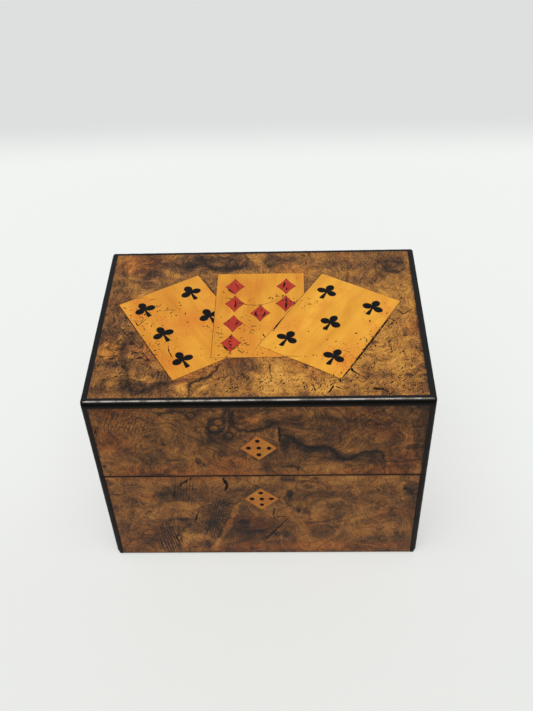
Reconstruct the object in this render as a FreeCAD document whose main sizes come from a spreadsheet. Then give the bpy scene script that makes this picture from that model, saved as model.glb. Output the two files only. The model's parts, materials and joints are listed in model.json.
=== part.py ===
"""Playing card box with a hinged lid and a drawer, in millimetres.

Frame: origin under the middle of the box, +Z up, the drawer opens towards -Y, +X to the right.
The lid takes in everything above the joint line, and turns on two butt hinges at the back.
The lower front between the black corner strips is the drawer's front.
"""
import FreeCAD, Part
import os
import Sketcher

V = FreeCAD.Vector
doc = FreeCAD.newDocument("playing_card_box")

# ---------------------------------------------------------------- driving dimensions
SIZES = {
    # the box outside
    "box_width": 228.0,
    "box_depth": 157.0,
    "base_height": 95.0,
    "lid_height": 74.5,
    "joint_gap": 0.5,
    # carcass: wall includes its veneer, top includes its veneer
    "wall": 10.0,
    "veneer": 0.8,
    "top_thickness": 9.0,
    "bottom_thickness": 8.0,
    "shelf_thickness": 7.0,
    "baize": 1.0,
    "baize_inset": 3.0,
    "lid_lining": 1.5,
    # black edging: strips along the sides and corners, the top front and the top back
    "edging": 4.2,
    "edging_front": 4.6,
    "edging_back": 3.0,
    "edging_drop": 5.0,
    "corner_round": 2.0,
    "top_round": 1.3,
    # inlaid fan of cards on the lid
    "card_width": 63.5,
    "card_length": 88.9,
    "fan_angle": 30.7,
    "fan_margin": 9.4,
    "fan_shift": -1.0,
    "fan_drop": 4.2,
    "middle_card_rise": 6.7,
    "middle_card_shift": -0.4,
    "pip_column": 18.2,
    "pip_row": 29.6,
    "diamond_width": 14.0,
    "diamond_length": 17.6,
    "club_lobe_reach": 4.2,
    "club_lobe_radius": 3.1,
    "club_stem": 8.8,
    "club_foot": 4.2,
    # inlaid dice on the front
    "dice_side": 18.0,
    "dice_shift": -0.9,
    "lid_die_rise": 29.4,
    "drawer_die_drop": 26.7,
    "dice_pip_radius": 1.55,
    "dice_pip_spread": 7.0,
    # card rack on the shelf
    "rack_wall": 4.5,
    "rack_height": 38.0,
    "rack_side_margin": 5.0,
    "rack_end_margin": 20.0,
    "well_lining": 1.0,
    "scoop_radius": 14.0,
    # drawer
    "slip": 0.3,
    "drawer_side": 5.0,
    "drawer_headroom": 1.7,
    "drawer_back_room": 2.5,
    "drawer_floor": 3.0,
    "drawer_floor_rise": 3.0,
    "groove": 2.5,
    "divider": 3.0,
    "divider_height": 52.0,
    "drawer_lining": 0.8,
    # hinges
    "hinge_length": 38.0,
    "hinge_inset": 34.0,
    "hinge_setback": 3.2,
    "leaf_thickness": 1.2,
    "leaf_land": 0.7,
    "knuckle_radius": 2.0,
    "knuckle_room": 0.4,
    "pin_radius": 0.9,
    "pin_play": 0.05,
    "stop_bevel": 52.0,
    "screw_head": 1.45,
    "screw_shank": 0.75,
    "screw_sink": 0.8,
    "screw_length": 7.0,
    "screw_slot": 0.4,
}
KNUCKLES = 5
SCREWS_PER_LEAF = 3

sheet = doc.addObject("Spreadsheet::Sheet", "dims")
for row, (word, value) in enumerate(SIZES.items(), 1):
    sheet.set(f"A{row}", word)
    sheet.set(f"B{row}", str(value))
    sheet.setAlias(f"B{row}", word)
doc.recompute()

# ---------------------------------------------------------------- reference planes, as expressions
outer_x = "(dims.box_width / 2)"
core_x = "(dims.box_width / 2 - dims.veneer)"
inner_x = "(dims.box_width / 2 - dims.wall)"
field_x = "(dims.box_width / 2 - dims.edging)"
outer_y = "(dims.box_depth / 2)"
core_y = "(dims.box_depth / 2 - dims.veneer)"
inner_y = "(dims.box_depth / 2 - dims.wall)"
field_y = "(dims.box_depth / 2 - dims.edging)"
base_top = "dims.base_height"
lid_low = "(dims.base_height + dims.joint_gap)"
box_top = "(dims.base_height + dims.joint_gap + dims.lid_height)"
wall_top = f"({box_top} - dims.top_thickness)"
strip_low = f"({box_top} - dims.edging_drop)"
floor_low = "dims.baize"
floor_top = "(dims.baize + dims.bottom_thickness)"
shelf_low = "(dims.base_height - dims.shelf_thickness)"
hinge_y = f"({outer_y} - dims.hinge_setback)"
hinge_z = "(dims.base_height + dims.joint_gap / 2)"


def span(plane):
    """The two planes the same distance either side of the middle."""
    return f"-{plane}", plane


def block(name, x, y, z):
    """A box between two planes along each axis."""
    solid = doc.addObject("Part::Box", name)
    for (low, high), size, letter in zip((x, y, z), ("Length", "Width", "Height"), "xyz"):
        solid.setExpression(size, f"({high}) - ({low})")
        solid.setExpression(f"Placement.Base.{letter}", low)
    return solid


def put(solid, x, y, z):
    """Binds where a solid stands."""
    for letter, place in zip("xyz", (x, y, z)):
        solid.setExpression(f"Placement.Base.{letter}", place)
    return solid


def rod(name, radius, length, turn=None):
    """A cylinder, standing along Z unless it is turned."""
    solid = doc.addObject("Part::Cylinder", name)
    solid.setExpression("Radius", radius)
    solid.setExpression("Height", length)
    if turn:
        solid.Placement = FreeCAD.Placement(V(), FreeCAD.Rotation(*turn))
    return solid


ALONG_X = (V(0, 1, 0), 90)
ALONG_BACK = (V(1, 0, 0), -90)
UPSIDE_DOWN = (V(1, 0, 0), 180)


def together(name, parts):
    group = doc.addObject("Part::Compound", name)
    group.Links = parts
    return group


def fused(name, parts):
    solid = doc.addObject("Part::MultiFuse", name)
    solid.Shapes = parts
    solid.Refine = True
    return solid


def cut(name, base, *tools):
    """The base less each tool in turn. Only the last result carries the name."""
    for number, tool in enumerate(tools, 1):
        result = doc.addObject("Part::Cut", name if number == len(tools) else f"{name}_step_{number}")
        result.Base = base
        result.Tool = tool
        base = result
    return base


def common(name, first, second):
    solid = doc.addObject("Part::Common", name)
    solid.Base = first
    solid.Tool = second
    return solid


def wedge(name, y, near_x, far_x, near_z, far_z):
    """A bar whose X and Z spans change from its near Y plane to its far one."""
    solid = doc.addObject("Part::Wedge", name)
    spans = {"Y": y, "X": near_x, "Z": near_z, "X2": far_x, "Z2": far_z}
    for letter, (low, high) in spans.items():
        solid.setExpression(f"{letter}min", low)
        solid.setExpression(f"{letter}max", high)
    return solid


def outline_sketch(sketch, corners):
    """Straight lines round the corners, each corner bound to its two expressions."""
    here = [V(index, index * index, 0) for index in range(len(corners))]
    first = sketch.GeometryCount
    for index in range(len(corners)):
        sketch.addGeometry(Part.LineSegment(here[index], here[(index + 1) % len(corners)]))
    for index, (x, y) in enumerate(corners):
        line = first + index
        following = first + (index + 1) % len(corners)
        sketch.addConstraint(Sketcher.Constraint("Coincident", line, 2, following, 1))
        for kind, place in (("DistanceX", x), ("DistanceY", y)):
            number = sketch.addConstraint(Sketcher.Constraint(kind, -1, 1, line, 1, 1.0))
            sketch.setExpression(f"Constraints[{number}]", place)


# ---------------------------------------------------------------- shared tools
def rounded_envelope():
    """The whole box with its worn arrises, which trims the black edging."""
    body = doc.addObject("PartDesign::Body", "envelope")
    plan = body.newObject("Sketcher::SketchObject", "envelope_plan")
    ground = next(item for item in body.Origin.OriginFeatures if item.Role == "XY_Plane")
    plan.AttachmentSupport = [(ground, "")]
    plan.MapMode = "FlatFace"
    corners = [(-1, -1), (1, -1), (1, 1), (-1, 1)]
    outline_sketch(plan, [(f"{x} * {outer_x}", f"{y} * {outer_y}") for x, y in corners])
    pad = body.newObject("PartDesign::Pad", "envelope_pad")
    pad.Profile = plan
    pad.setExpression("Length", box_top)
    doc.recompute()
    upright = [f"Edge{index}" for index, edge in enumerate(pad.Shape.Edges, 1)
               if abs(edge.tangentAt(edge.FirstParameter).z) > 0.9]
    corner_fillet = body.newObject("PartDesign::Fillet", "envelope_corners")
    corner_fillet.Base = (pad, upright)
    corner_fillet.setExpression("Radius", "dims.corner_round")
    doc.recompute()
    height = corner_fillet.Shape.BoundBox.ZMax
    rim = [f"Edge{index}" for index, edge in enumerate(corner_fillet.Shape.Edges, 1)
           if edge.BoundBox.ZMin > height - 0.01]
    top_fillet = body.newObject("PartDesign::Fillet", "envelope_top")
    top_fillet.Base = (corner_fillet, rim)
    top_fillet.setExpression("Radius", "dims.top_round")
    doc.recompute()
    return body


envelope = rounded_envelope()

# The back edges of base and lid are bevelled outside the hinge axis, so the lid leans back
# on its own bevel and the knuckles stay inside the outline.
past_back = f"({outer_y} + 1)"
past_side = span(f"({outer_x} + 1)")
bevel_drop = f"({past_back} - {hinge_y}) * tan(dims.stop_bevel * 1 deg)"
base_bevel = wedge("base_bevel", (hinge_y, past_back), past_side, past_side,
                   (base_top, f"{base_top} + 1"), (f"{base_top} - {bevel_drop}", f"{base_top} + 1"))
lid_bevel = wedge("lid_bevel", (hinge_y, past_back), past_side, past_side,
                  (f"{lid_low} - 1", lid_low), (f"{lid_low} - 1", f"{lid_low} + {bevel_drop}"))

SIDES = {"left": -1, "right": 1}
ENDS = {"front": -1, "back": 1}


def mirrored(sign, near, far):
    """Two planes on the left or front when the sign is negative, else on the right or back."""
    return (f"-{far}", f"-{near}") if sign < 0 else (near, far)


# ---------------------------------------------------------------- black edging
def corner_posts(part, z, bevel):
    """Four upright strips in the corner rebates; the back two share the bevel."""
    strips = []
    for end, y_sign in ENDS.items():
        for side, x_sign in SIDES.items():
            raw = block(f"{part}_post_{end}_{side}", mirrored(x_sign, field_x, outer_x),
                        mirrored(y_sign, field_y, outer_y), z)
            strip = common(f"{part}_strip_{end}_{side}", raw, envelope)
            if end == "back":
                strip = cut(f"{part}_strip_bevelled_{side}", strip, bevel)
            strips.append(strip)
    return together(f"{part}_corner_edging", strips)


lid_corner_edging = corner_posts("lid", (lid_low, strip_low), lid_bevel)
base_corner_edging = corner_posts("base", (floor_low, base_top), base_bevel)

front_field = f"({outer_y} - dims.edging_front)"
back_field = f"({outer_y} - dims.edging_back)"
strip_height = (strip_low, box_top)
raw_strips = {
    "front": wedge("top_strip_front", (f"-{outer_y}", f"-{front_field}"), span(outer_x), span(field_x),
                   strip_height, strip_height),
    "back": wedge("top_strip_back", (back_field, outer_y), span(field_x), span(outer_x),
                  strip_height, strip_height),
    "left": wedge("top_strip_left", (f"-{outer_x}", f"-{field_x}"), span(outer_y),
                  (f"-{back_field}", front_field), strip_height, strip_height),
    "right": wedge("top_strip_right", (field_x, outer_x), (f"-{back_field}", front_field),
                   span(outer_y), strip_height, strip_height),
}
for side in SIDES:
    raw_strips[side].Placement = FreeCAD.Placement(V(), FreeCAD.Rotation(V(0, 0, 1), -90))
lid_edging = {side: common(f"lid_edging_{side}", strip, envelope) for side, strip in raw_strips.items()}

# ---------------------------------------------------------------- hinges
HINGES = {"left": f"(dims.hinge_inset - {inner_x})", "right": f"({inner_x} - dims.hinge_inset)"}
leaf_inner = f"({inner_y} + dims.leaf_land)"
screw_y = f"(({leaf_inner} + {hinge_y} - dims.knuckle_radius) / 2)"
segment = f"(dims.hinge_length / {KNUCKLES})"


def screw(name, x, face, upwards):
    """A slotted countersunk screw that goes down from a face, or up from one."""
    turn = None if upwards else UPSIDE_DOWN
    head = doc.addObject("Part::Cone", f"{name}_head")
    head.setExpression("Radius1", "dims.screw_head")
    head.setExpression("Radius2", "dims.screw_shank")
    head.setExpression("Height", "dims.screw_sink")
    if turn:
        head.Placement = FreeCAD.Placement(V(), FreeCAD.Rotation(*turn))
    shank = rod(f"{name}_shank", "dims.screw_shank", "dims.screw_length", turn)
    whole = fused(f"{name}_whole", [put(head, x, screw_y, face), put(shank, x, screw_y, face)])
    depth = "dims.screw_sink / 2"
    z = (face, f"{face} + {depth}") if upwards else (f"{face} - {depth}", face)
    slot = block(f"{name}_slot", (f"{x} - dims.screw_head", f"{x} + dims.screw_head"),
                 (f"{screw_y} - dims.screw_slot / 2", f"{screw_y} + dims.screw_slot / 2"), z)
    return whole, cut(name, whole, slot)


def knuckle_rod(name, x, radius, low, high):
    """A stretch of cylinder on the hinge axis, measured from the hinge's left end."""
    piece = rod(name, radius, f"({high}) - ({low})", ALONG_X)
    return put(piece, f"{x} - dims.hinge_length / 2 + {low}", hinge_y, hinge_z)


def hinge_leaf(name, x, z, own, face, upwards):
    """One leaf with its own knuckles, room for the other leaf's, its pin hole and its screws."""
    reach = (f"{x} - dims.hinge_length / 2", f"{x} + dims.hinge_length / 2")
    parts = [block(f"{name}_plate", reach, (leaf_inner, hinge_y), z)]
    relief = []
    for index in range(KNUCKLES):
        low, high = f"{index} * {segment}", f"{index + 1} * {segment}"
        if index % 2 == own:
            parts.append(knuckle_rod(f"{name}_knuckle_{index}", x, "dims.knuckle_radius",
                                     f"{low} + dims.slip / 2", f"{high} - dims.slip / 2"))
        else:
            relief.append(knuckle_rod(f"{name}_relief_{index}", x,
                                      "dims.knuckle_radius + dims.slip", low, high))
    bore = knuckle_rod(f"{name}_bore", x, "dims.pin_radius + dims.pin_play",
                       "-1", "dims.hinge_length + 1")
    solids, screws = [], []
    for index in range(SCREWS_PER_LEAF):
        place = f"{x} + {index - (SCREWS_PER_LEAF - 1) / 2} * dims.hinge_length / {SCREWS_PER_LEAF}"
        whole, finished = screw(f"{name}_screw_{index}", place, face, upwards)
        solids.append(whole)
        screws.append(finished)
    holes = together(f"{name}_screw_holes", solids)
    leaf = cut(name, fused(f"{name}_blank", parts), together(f"{name}_reliefs", relief), bore, holes)
    mortise = block(f"{name}_mortise", reach, (leaf_inner, hinge_y), z)
    return leaf, screws, [mortise, holes]


base_leaves, base_screws, base_mortises = [], [], []
lid_leaves, lid_screws, lid_mortises = [], [], []
pins, knuckle_rooms = [], []
for side, x in HINGES.items():
    leaf, screws, tools = hinge_leaf(f"{side}_base_leaf", x, (f"{base_top} - dims.leaf_thickness", base_top),
                                     0, base_top, False)
    base_leaves.append(leaf)
    base_screws += screws
    base_mortises += tools
    leaf, screws, tools = hinge_leaf(f"{side}_lid_leaf", x, (lid_low, f"{lid_low} + dims.leaf_thickness"),
                                     1, lid_low, True)
    lid_leaves.append(leaf)
    lid_screws += screws
    lid_mortises += tools
    pins.append(knuckle_rod(f"{side}_hinge_pin", x, "dims.pin_radius", "0", "dims.hinge_length"))
    knuckle_rooms.append(knuckle_rod(f"{side}_knuckle_room", x, "dims.knuckle_radius + dims.knuckle_room",
                                     "-dims.knuckle_room", "dims.hinge_length + dims.knuckle_room"))
knuckle_room = together("knuckle_room", knuckle_rooms)

# ---------------------------------------------------------------- carcass boards
def side_boards(part, z, bevel):
    """Left and right boards, their ends covered by the lips of the front and back boards."""
    boards = {}
    for side, sign in SIDES.items():
        raw = block(f"{part}_{side}_raw", mirrored(sign, inner_x, core_x), span(field_y), z)
        boards[side] = cut(f"{part}_{side}_board", raw, bevel)
    return boards


def lapped_board(name, sign, z):
    """A front or back board: between the sides, with a lip that laps their ends."""
    middle = block(f"{name}_middle", span(inner_x), mirrored(sign, inner_y, core_y), z)
    lip = block(f"{name}_lip", span(field_x), mirrored(sign, field_y, core_y), z)
    return fused(name, [middle, lip])


lid_walls = (lid_low, wall_top)
lid_sides = side_boards("lid", lid_walls, lid_bevel)
lid_front_board = lapped_board("lid_front_board", -1, lid_walls)
lid_back_board = cut("lid_back_board", lapped_board("lid_back_blank", 1, lid_walls), lid_bevel,
                     knuckle_room, *lid_mortises)
top_slab = block("top_slab", span(core_x), span(core_y), (wall_top, f"{box_top} - dims.veneer"))
post_rooms = [block(f"post_room_{end}_{side}", mirrored(x_sign, field_x, outer_x),
                    mirrored(y_sign, field_y, outer_y), (wall_top, strip_low))
              for end, y_sign in ENDS.items() for side, x_sign in SIDES.items()]
lid_top_board = cut("lid_top_board", top_slab, together("post_rooms", post_rooms),
                    *raw_strips.values())
lid_lining = block("lid_lining", span(inner_x), span(inner_y), (f"{wall_top} - dims.lid_lining", wall_top))

base_walls = (floor_low, base_top)
base_sides = side_boards("base", base_walls, base_bevel)
base_back_board = cut("base_back_board", lapped_board("base_back_blank", 1, base_walls), base_bevel,
                      knuckle_room, *base_mortises)
board_depth = (f"-{inner_y} + dims.slip", inner_y)
base_bottom_board = block("base_bottom_board", span(inner_x), board_depth, (floor_low, floor_top))
shelf_slab = block("shelf_slab", span(inner_x), board_depth, (shelf_low, base_top))
scoop = put(rod("scoop", "dims.scoop_radius", "dims.shelf_thickness"),
            "0 * dims.wall", f"-{inner_y} + dims.slip", shelf_low)
shelf_board = cut("shelf_board", shelf_slab, scoop)
baize_y = (f"-{inner_y} + dims.slip", f"{outer_y} - dims.baize_inset")
baize_x = span(f"({outer_x} - dims.baize_inset)")
base_baize = block("base_baize", baize_x, baize_y, ("0 * dims.wall", floor_low))

# ---------------------------------------------------------------- veneers
lid_field = (lid_low, strip_low)
back_skin = mirrored(1, core_y, outer_y)
front_skin = mirrored(-1, core_y, outer_y)


def skin(part, where, x, y, z, bevel):
    """A side or back veneer, stopped at the hinge bevel."""
    return cut(f"{part}_{where}_veneer", block(f"{part}_{where}_sheet", x, y, z), bevel)


lid_side_veneers, base_side_veneers = [
    [skin(part, side, mirrored(sign, core_x, outer_x), span(field_y), z, bevel)
     for side, sign in SIDES.items()]
    for part, z, bevel in (("lid", lid_field, lid_bevel), ("base", base_walls, base_bevel))]
lid_back_veneer = skin("lid", "back", span(field_x), back_skin, lid_field, lid_bevel)
base_back_veneer = skin("base", "back", span(field_x), back_skin, base_walls, base_bevel)


# ---------------------------------------------------------------- inlaid dice
def dice(part, centre_z, sheet_x, sheet_z):
    """A square standing on its point, with five pips, let into a front veneer."""
    half = "dims.dice_side / 2"
    square = block(f"{part}_dice_square", (f"-{half}", half), ("0 * dims.wall", "dims.veneer"),
                   (f"-{half}", half))
    turned = together(f"{part}_dice_outline", [square])
    turned.Placement = FreeCAD.Placement(V(), FreeCAD.Rotation(V(0, 1, 0), 45))
    put(turned, "dims.dice_shift", f"-{outer_y}", centre_z)
    spots = []
    for index, (x, z) in enumerate([(0, 0), (1, 0), (-1, 0), (0, 1), (0, -1)]):
        spot = rod(f"{part}_dice_spot_{index}", "dims.dice_pip_radius", "dims.veneer", ALONG_BACK)
        spots.append(put(spot, f"dims.dice_shift + {x} * dims.dice_pip_spread", f"-{outer_y}",
                         f"{centre_z} + {z} * dims.dice_pip_spread"))
    pips = together(f"{part}_dice_pips", spots)
    inlay = cut(f"{part}_dice_inlay", turned, pips)
    sheet = block(f"{part}_front_sheet", sheet_x, front_skin, sheet_z)
    veneer = cut(f"{part}_front_veneer", sheet, turned)
    return [veneer, inlay, pips]


drawer_z = (f"{floor_low} + dims.slip", base_top)
drawer_face_x = span(f"({field_x} - dims.slip)")
lid_front = dice("lid", f"{hinge_z} + dims.lid_die_rise", span(field_x), lid_field)
drawer_face = dice("drawer", f"{hinge_z} - dims.drawer_die_drop", drawer_face_x, drawer_z)

# ---------------------------------------------------------------- inlaid fan of cards
skin_z = (f"{box_top} - dims.veneer", box_top)
tilt = "dims.fan_angle * 1 deg"
fan_reach = (f"({field_x} - dims.fan_margin - dims.card_width / 2 * cos({tilt})"
             f" - dims.card_length / 2 * sin({tilt}))")
CARDS = {
    "left": {"x": f"dims.fan_shift - {fan_reach}", "y": "-dims.fan_drop", "angle": "dims.fan_angle"},
    "middle": {"x": "dims.middle_card_shift", "y": "dims.middle_card_rise", "angle": "0 * dims.fan_angle"},
    "right": {"x": f"dims.fan_shift + {fan_reach}", "y": "-dims.fan_drop", "angle": "-dims.fan_angle"},
}


def on_card(name, card, parts):
    """Parts laid out on a card, which is then turned and set on the lid."""
    group = together(name, parts)
    group.Placement = FreeCAD.Placement(V(), FreeCAD.Rotation(V(0, 0, 1), 10))
    group.setExpression("Placement.Rotation.Angle", CARDS[card]["angle"])
    return put(group, CARDS[card]["x"], CARDS[card]["y"], f"{box_top} - dims.veneer")


def club(name, column, row):
    """Three lobes round a middle, on a stem that widens to its foot."""
    x, y = f"{column} * dims.pip_column", f"{row} * dims.pip_row"
    reach = "dims.club_lobe_reach"
    parts = []
    for index, (across, up) in enumerate([(0, 0), (-1, 0), (1, 0), (0, 1)]):
        lobe = rod(f"{name}_lobe_{index}", "dims.club_lobe_radius", "dims.veneer")
        parts.append(put(lobe, f"{x} + {across} * {reach}", f"{y} + {up} * {reach}", "0 * dims.wall"))
    foot = "dims.club_foot / 2"
    stem = wedge(f"{name}_stem", (f"{y} - dims.club_stem", y), (f"{x} - {foot}", f"{x} + {foot}"),
                 (f"{x} - {foot} / 3", f"{x} + {foot} / 3"), ("0 * dims.wall", "dims.veneer"),
                 ("0 * dims.wall", "dims.veneer"))
    return fused(name, parts + [stem])


def diamonds(name, places):
    """One sketch of the diamonds, extruded through the veneer."""
    sketch = doc.addObject("Sketcher::SketchObject", f"{name}_outline")
    for column, row in places:
        x, y = f"{column} * dims.pip_column", f"{row} * dims.pip_row"
        corners = [(1, 0), (0, 1), (-1, 0), (0, -1)]
        outline_sketch(sketch, [(f"{x} + {a} * dims.diamond_width / 2",
                                 f"{y} + {b} * dims.diamond_length / 2") for a, b in corners])
    doc.recompute()
    prism = doc.addObject("Part::Extrusion", f"{name}_prism")
    prism.Base = sketch
    prism.Dir = V(0, 0, 1)
    prism.DirMode = "Custom"
    prism.setExpression("LengthFwd", "dims.veneer")
    prism.Solid = True
    return prism


cards = {}
for card in CARDS:
    sheet_half = ("dims.card_width / 2", "dims.card_length / 2")
    plain = block(f"{card}_card_sheet", (f"-{sheet_half[0]}", sheet_half[0]),
                  (f"-{sheet_half[1]}", sheet_half[1]), ("0 * dims.wall", "dims.veneer"))
    cards[card] = on_card(f"{card}_card_outline", card, [plain])

# A card that lies over another cuts away what it covers, pips and all.
SIX = [(column, row) for row in (1, 0, -1) for column in (-1, 1)]
FIVE = [(-1, 1), (1, 1), (0, 0), (-1, -1), (1, -1)]
NINE = [(-1, 1), (-1, 1 / 3), (-1, -1 / 3), (-1, -1), (1, 1), (1, 1 / 3), (0, 0)]
six_clubs = [club(f"six_club_{index}", *place) for index, place in enumerate(SIX[:5])]
five_clubs = [club(f"five_club_{index}", *place) for index, place in enumerate(FIVE)]
club_pips_left = cut("club_pips_left", on_card("six_on_card", "left", six_clubs), cards["middle"])
club_pips_right = on_card("club_pips_right", "right", five_clubs)
nine_diamonds = on_card("nine_on_card", "middle", [diamonds("nine", NINE)])
diamond_pips = cut("diamond_pips", nine_diamonds, cards["right"])
card_inlay_left = cut("card_inlay_left", cards["left"], cards["middle"], cards["right"], club_pips_left)
card_inlay_middle = cut("card_inlay_middle", cards["middle"], cards["right"], diamond_pips)
card_inlay_right = cut("card_inlay_right", cards["right"], club_pips_right)
lid_top_veneer = cut("lid_top_veneer",
                     block("lid_top_sheet", span(field_x), (f"-{front_field}", back_field), skin_z),
                     *cards.values())

# ---------------------------------------------------------------- card rack
rack_x = f"({inner_x} - dims.rack_side_margin)"
rack_y = f"({inner_y} - dims.rack_end_margin)"
rack_z = (base_top, f"{base_top} + dims.rack_height")
rack_inner_y = f"({rack_y} - dims.rack_wall)"
rack_inner_x = f"({rack_x} - dims.rack_wall)"
half_rack_wall = "(dims.rack_wall / 2)"
rack_middle_z = f"({base_top} + dims.rack_height / 2)"
rack_ends = {end: block(f"rack_{end}_wall", span(rack_x), mirrored(sign, rack_inner_y, rack_y), rack_z)
             for end, sign in ENDS.items()}
rack_flanks = {side: block(f"rack_{side}_wall", mirrored(sign, rack_inner_x, rack_x),
                           span(rack_inner_y), rack_z)
               for side, sign in SIDES.items()}
# the two inner walls are halved over each other
crossing = (span(half_rack_wall), span(half_rack_wall))
rack_cross_wall = cut("rack_cross_wall",
                      block("rack_cross_blank", span(rack_inner_x), span(half_rack_wall), rack_z),
                      block("cross_halving", *crossing, (rack_middle_z, rack_z[1])))
rack_centre_wall = cut("rack_centre_wall",
                       block("rack_centre_blank", span(half_rack_wall), span(rack_inner_y), rack_z),
                       block("centre_halving", *crossing, (base_top, rack_middle_z)))
well_linings = together("well_linings", [
    block(f"well_lining_{end}_{side}", mirrored(x_sign, half_rack_wall, rack_inner_x),
          mirrored(y_sign, half_rack_wall, rack_inner_y), (base_top, f"{base_top} + dims.well_lining"))
    for end, y_sign in ENDS.items() for side, x_sign in SIDES.items()])

# ---------------------------------------------------------------- drawer
drawer_outer_x = f"({inner_x} - dims.slip)"
drawer_inner_x = f"({inner_x} - dims.slip - dims.drawer_side)"
drawer_rear = f"({inner_y} - dims.drawer_back_room)"
drawer_back_face = f"({drawer_rear} - dims.drawer_side)"
sides_z = (f"{floor_top} + dims.slip", f"{shelf_low} - dims.drawer_headroom")
panel_low = f"({floor_top} + dims.slip + dims.drawer_floor_rise)"
panel_top = f"({panel_low} + dims.drawer_floor)"
divider_z = (panel_top, f"{panel_top} + dims.divider_height")
half_divider = "(dims.divider / 2)"
front_split = f"-{field_y} - dims.slip"
left_bay, right_bay = (mirrored(sign, half_divider, drawer_inner_x) for sign in (-1, 1))
bay_y = (f"-{inner_y}", drawer_back_face)
drawer_front_board = block("drawer_front_board", drawer_face_x, (f"-{core_y}", front_split), drawer_z)
drawer_bottom = block("drawer_bottom", span(f"({drawer_inner_x} + dims.groove)"),
                      (f"-{inner_y} - dims.groove", drawer_rear), (panel_low, panel_top))
inner_front_blank = block("inner_front_blank", span(drawer_outer_x), (front_split, f"-{inner_y}"), drawer_z)
drawer_inner_front = cut("drawer_inner_front", inner_front_blank, drawer_bottom)
drawer_sides = {side: cut(f"drawer_{side}_side",
                          block(f"drawer_{side}_blank", mirrored(sign, drawer_inner_x, drawer_outer_x),
                                (f"-{inner_y}", drawer_rear), sides_z),
                          drawer_bottom)
                for side, sign in SIDES.items()}
drawer_back = block("drawer_back", span(drawer_inner_x), (drawer_back_face, drawer_rear),
                    (panel_top, sides_z[1]))
drawer_centre_divider = block("drawer_centre_divider", span(half_divider), bay_y, divider_z)
drawer_cross_divider = block("drawer_cross_divider", right_bay, span(half_divider), divider_z)
lining_z = (panel_top, f"{panel_top} + dims.drawer_lining")
drawer_linings = together("drawer_linings", [
    block("left_bay_lining", left_bay, bay_y, lining_z),
    block("front_bay_lining", right_bay, (bay_y[0], f"-{half_divider}"), lining_z),
    block("back_bay_lining", right_bay, (half_divider, bay_y[1]), lining_z)])

# ---------------------------------------------------------------- the nodes
NODES = [
    lid_top_board, lid_front_board, lid_back_board, *lid_sides.values(), lid_lining, lid_top_veneer,
    *lid_front, lid_back_veneer, *lid_side_veneers, *lid_edging.values(), lid_corner_edging,
    card_inlay_left, card_inlay_middle, card_inlay_right, club_pips_left, diamond_pips, club_pips_right,
    together("hinge_lid_leaves", lid_leaves), together("hinge_lid_screws", lid_screws),
    base_bottom_board, *base_sides.values(), base_back_board, shelf_board, *base_side_veneers,
    base_back_veneer, base_corner_edging, *rack_ends.values(), *rack_flanks.values(), rack_cross_wall,
    rack_centre_wall, well_linings, base_baize, together("hinge_base_leaves", base_leaves),
    together("hinge_pins", pins), together("hinge_base_screws", base_screws),
    drawer_front_board, drawer_inner_front, *drawer_face, *drawer_sides.values(), drawer_back,
    drawer_bottom, drawer_centre_divider, drawer_cross_divider, drawer_linings,
]

doc.recompute()
faults = [item.Label for item in doc.Objects if {"Invalid", "Error"} & set(item.State)]
faults += [node.Label for node in NODES if node.Shape.isNull() or not node.Shape.isValid()]
if faults:
    raise RuntimeError("not built: " + ", ".join(faults))

os.makedirs("parts", exist_ok=True)
for node in NODES:
    node.Shape.exportStep(f"parts/{node.Label}.step")
print(len(NODES), "nodes written")
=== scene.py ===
"""Looks of the playing card box: burr walnut veneers, inlaid cards and dice, black edging, linings.

Lengths inside the helpers are millimetres in the row frame; meshes are made in metres.
"""
import json
import math

import bpy
import numpy as np
from mathutils import Matrix, Vector
from mathutils.geometry import delaunay_2d_cdt
from mathutils.kdtree import KDTree


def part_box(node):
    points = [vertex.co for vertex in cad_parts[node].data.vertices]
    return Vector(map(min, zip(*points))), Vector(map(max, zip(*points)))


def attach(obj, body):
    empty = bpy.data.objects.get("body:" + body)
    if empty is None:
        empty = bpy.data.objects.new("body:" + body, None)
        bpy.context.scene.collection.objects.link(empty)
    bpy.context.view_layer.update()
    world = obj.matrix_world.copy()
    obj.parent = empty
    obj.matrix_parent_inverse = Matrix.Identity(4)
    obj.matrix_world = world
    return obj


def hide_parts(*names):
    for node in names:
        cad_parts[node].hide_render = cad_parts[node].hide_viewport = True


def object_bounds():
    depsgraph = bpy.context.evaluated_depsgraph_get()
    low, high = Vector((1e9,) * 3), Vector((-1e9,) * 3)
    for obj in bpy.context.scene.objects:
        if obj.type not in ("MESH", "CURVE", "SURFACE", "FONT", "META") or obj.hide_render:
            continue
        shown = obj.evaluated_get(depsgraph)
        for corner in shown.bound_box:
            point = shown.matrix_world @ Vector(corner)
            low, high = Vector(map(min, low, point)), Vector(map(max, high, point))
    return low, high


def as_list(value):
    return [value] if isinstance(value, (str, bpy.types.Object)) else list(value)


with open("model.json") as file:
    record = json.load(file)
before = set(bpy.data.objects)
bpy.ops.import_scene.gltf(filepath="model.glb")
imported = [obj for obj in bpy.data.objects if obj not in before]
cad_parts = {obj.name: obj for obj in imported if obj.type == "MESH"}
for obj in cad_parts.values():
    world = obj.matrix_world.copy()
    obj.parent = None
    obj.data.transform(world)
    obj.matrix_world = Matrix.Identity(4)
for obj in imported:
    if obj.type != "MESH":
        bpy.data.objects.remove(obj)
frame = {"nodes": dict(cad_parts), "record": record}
CAD_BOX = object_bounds()

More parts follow.
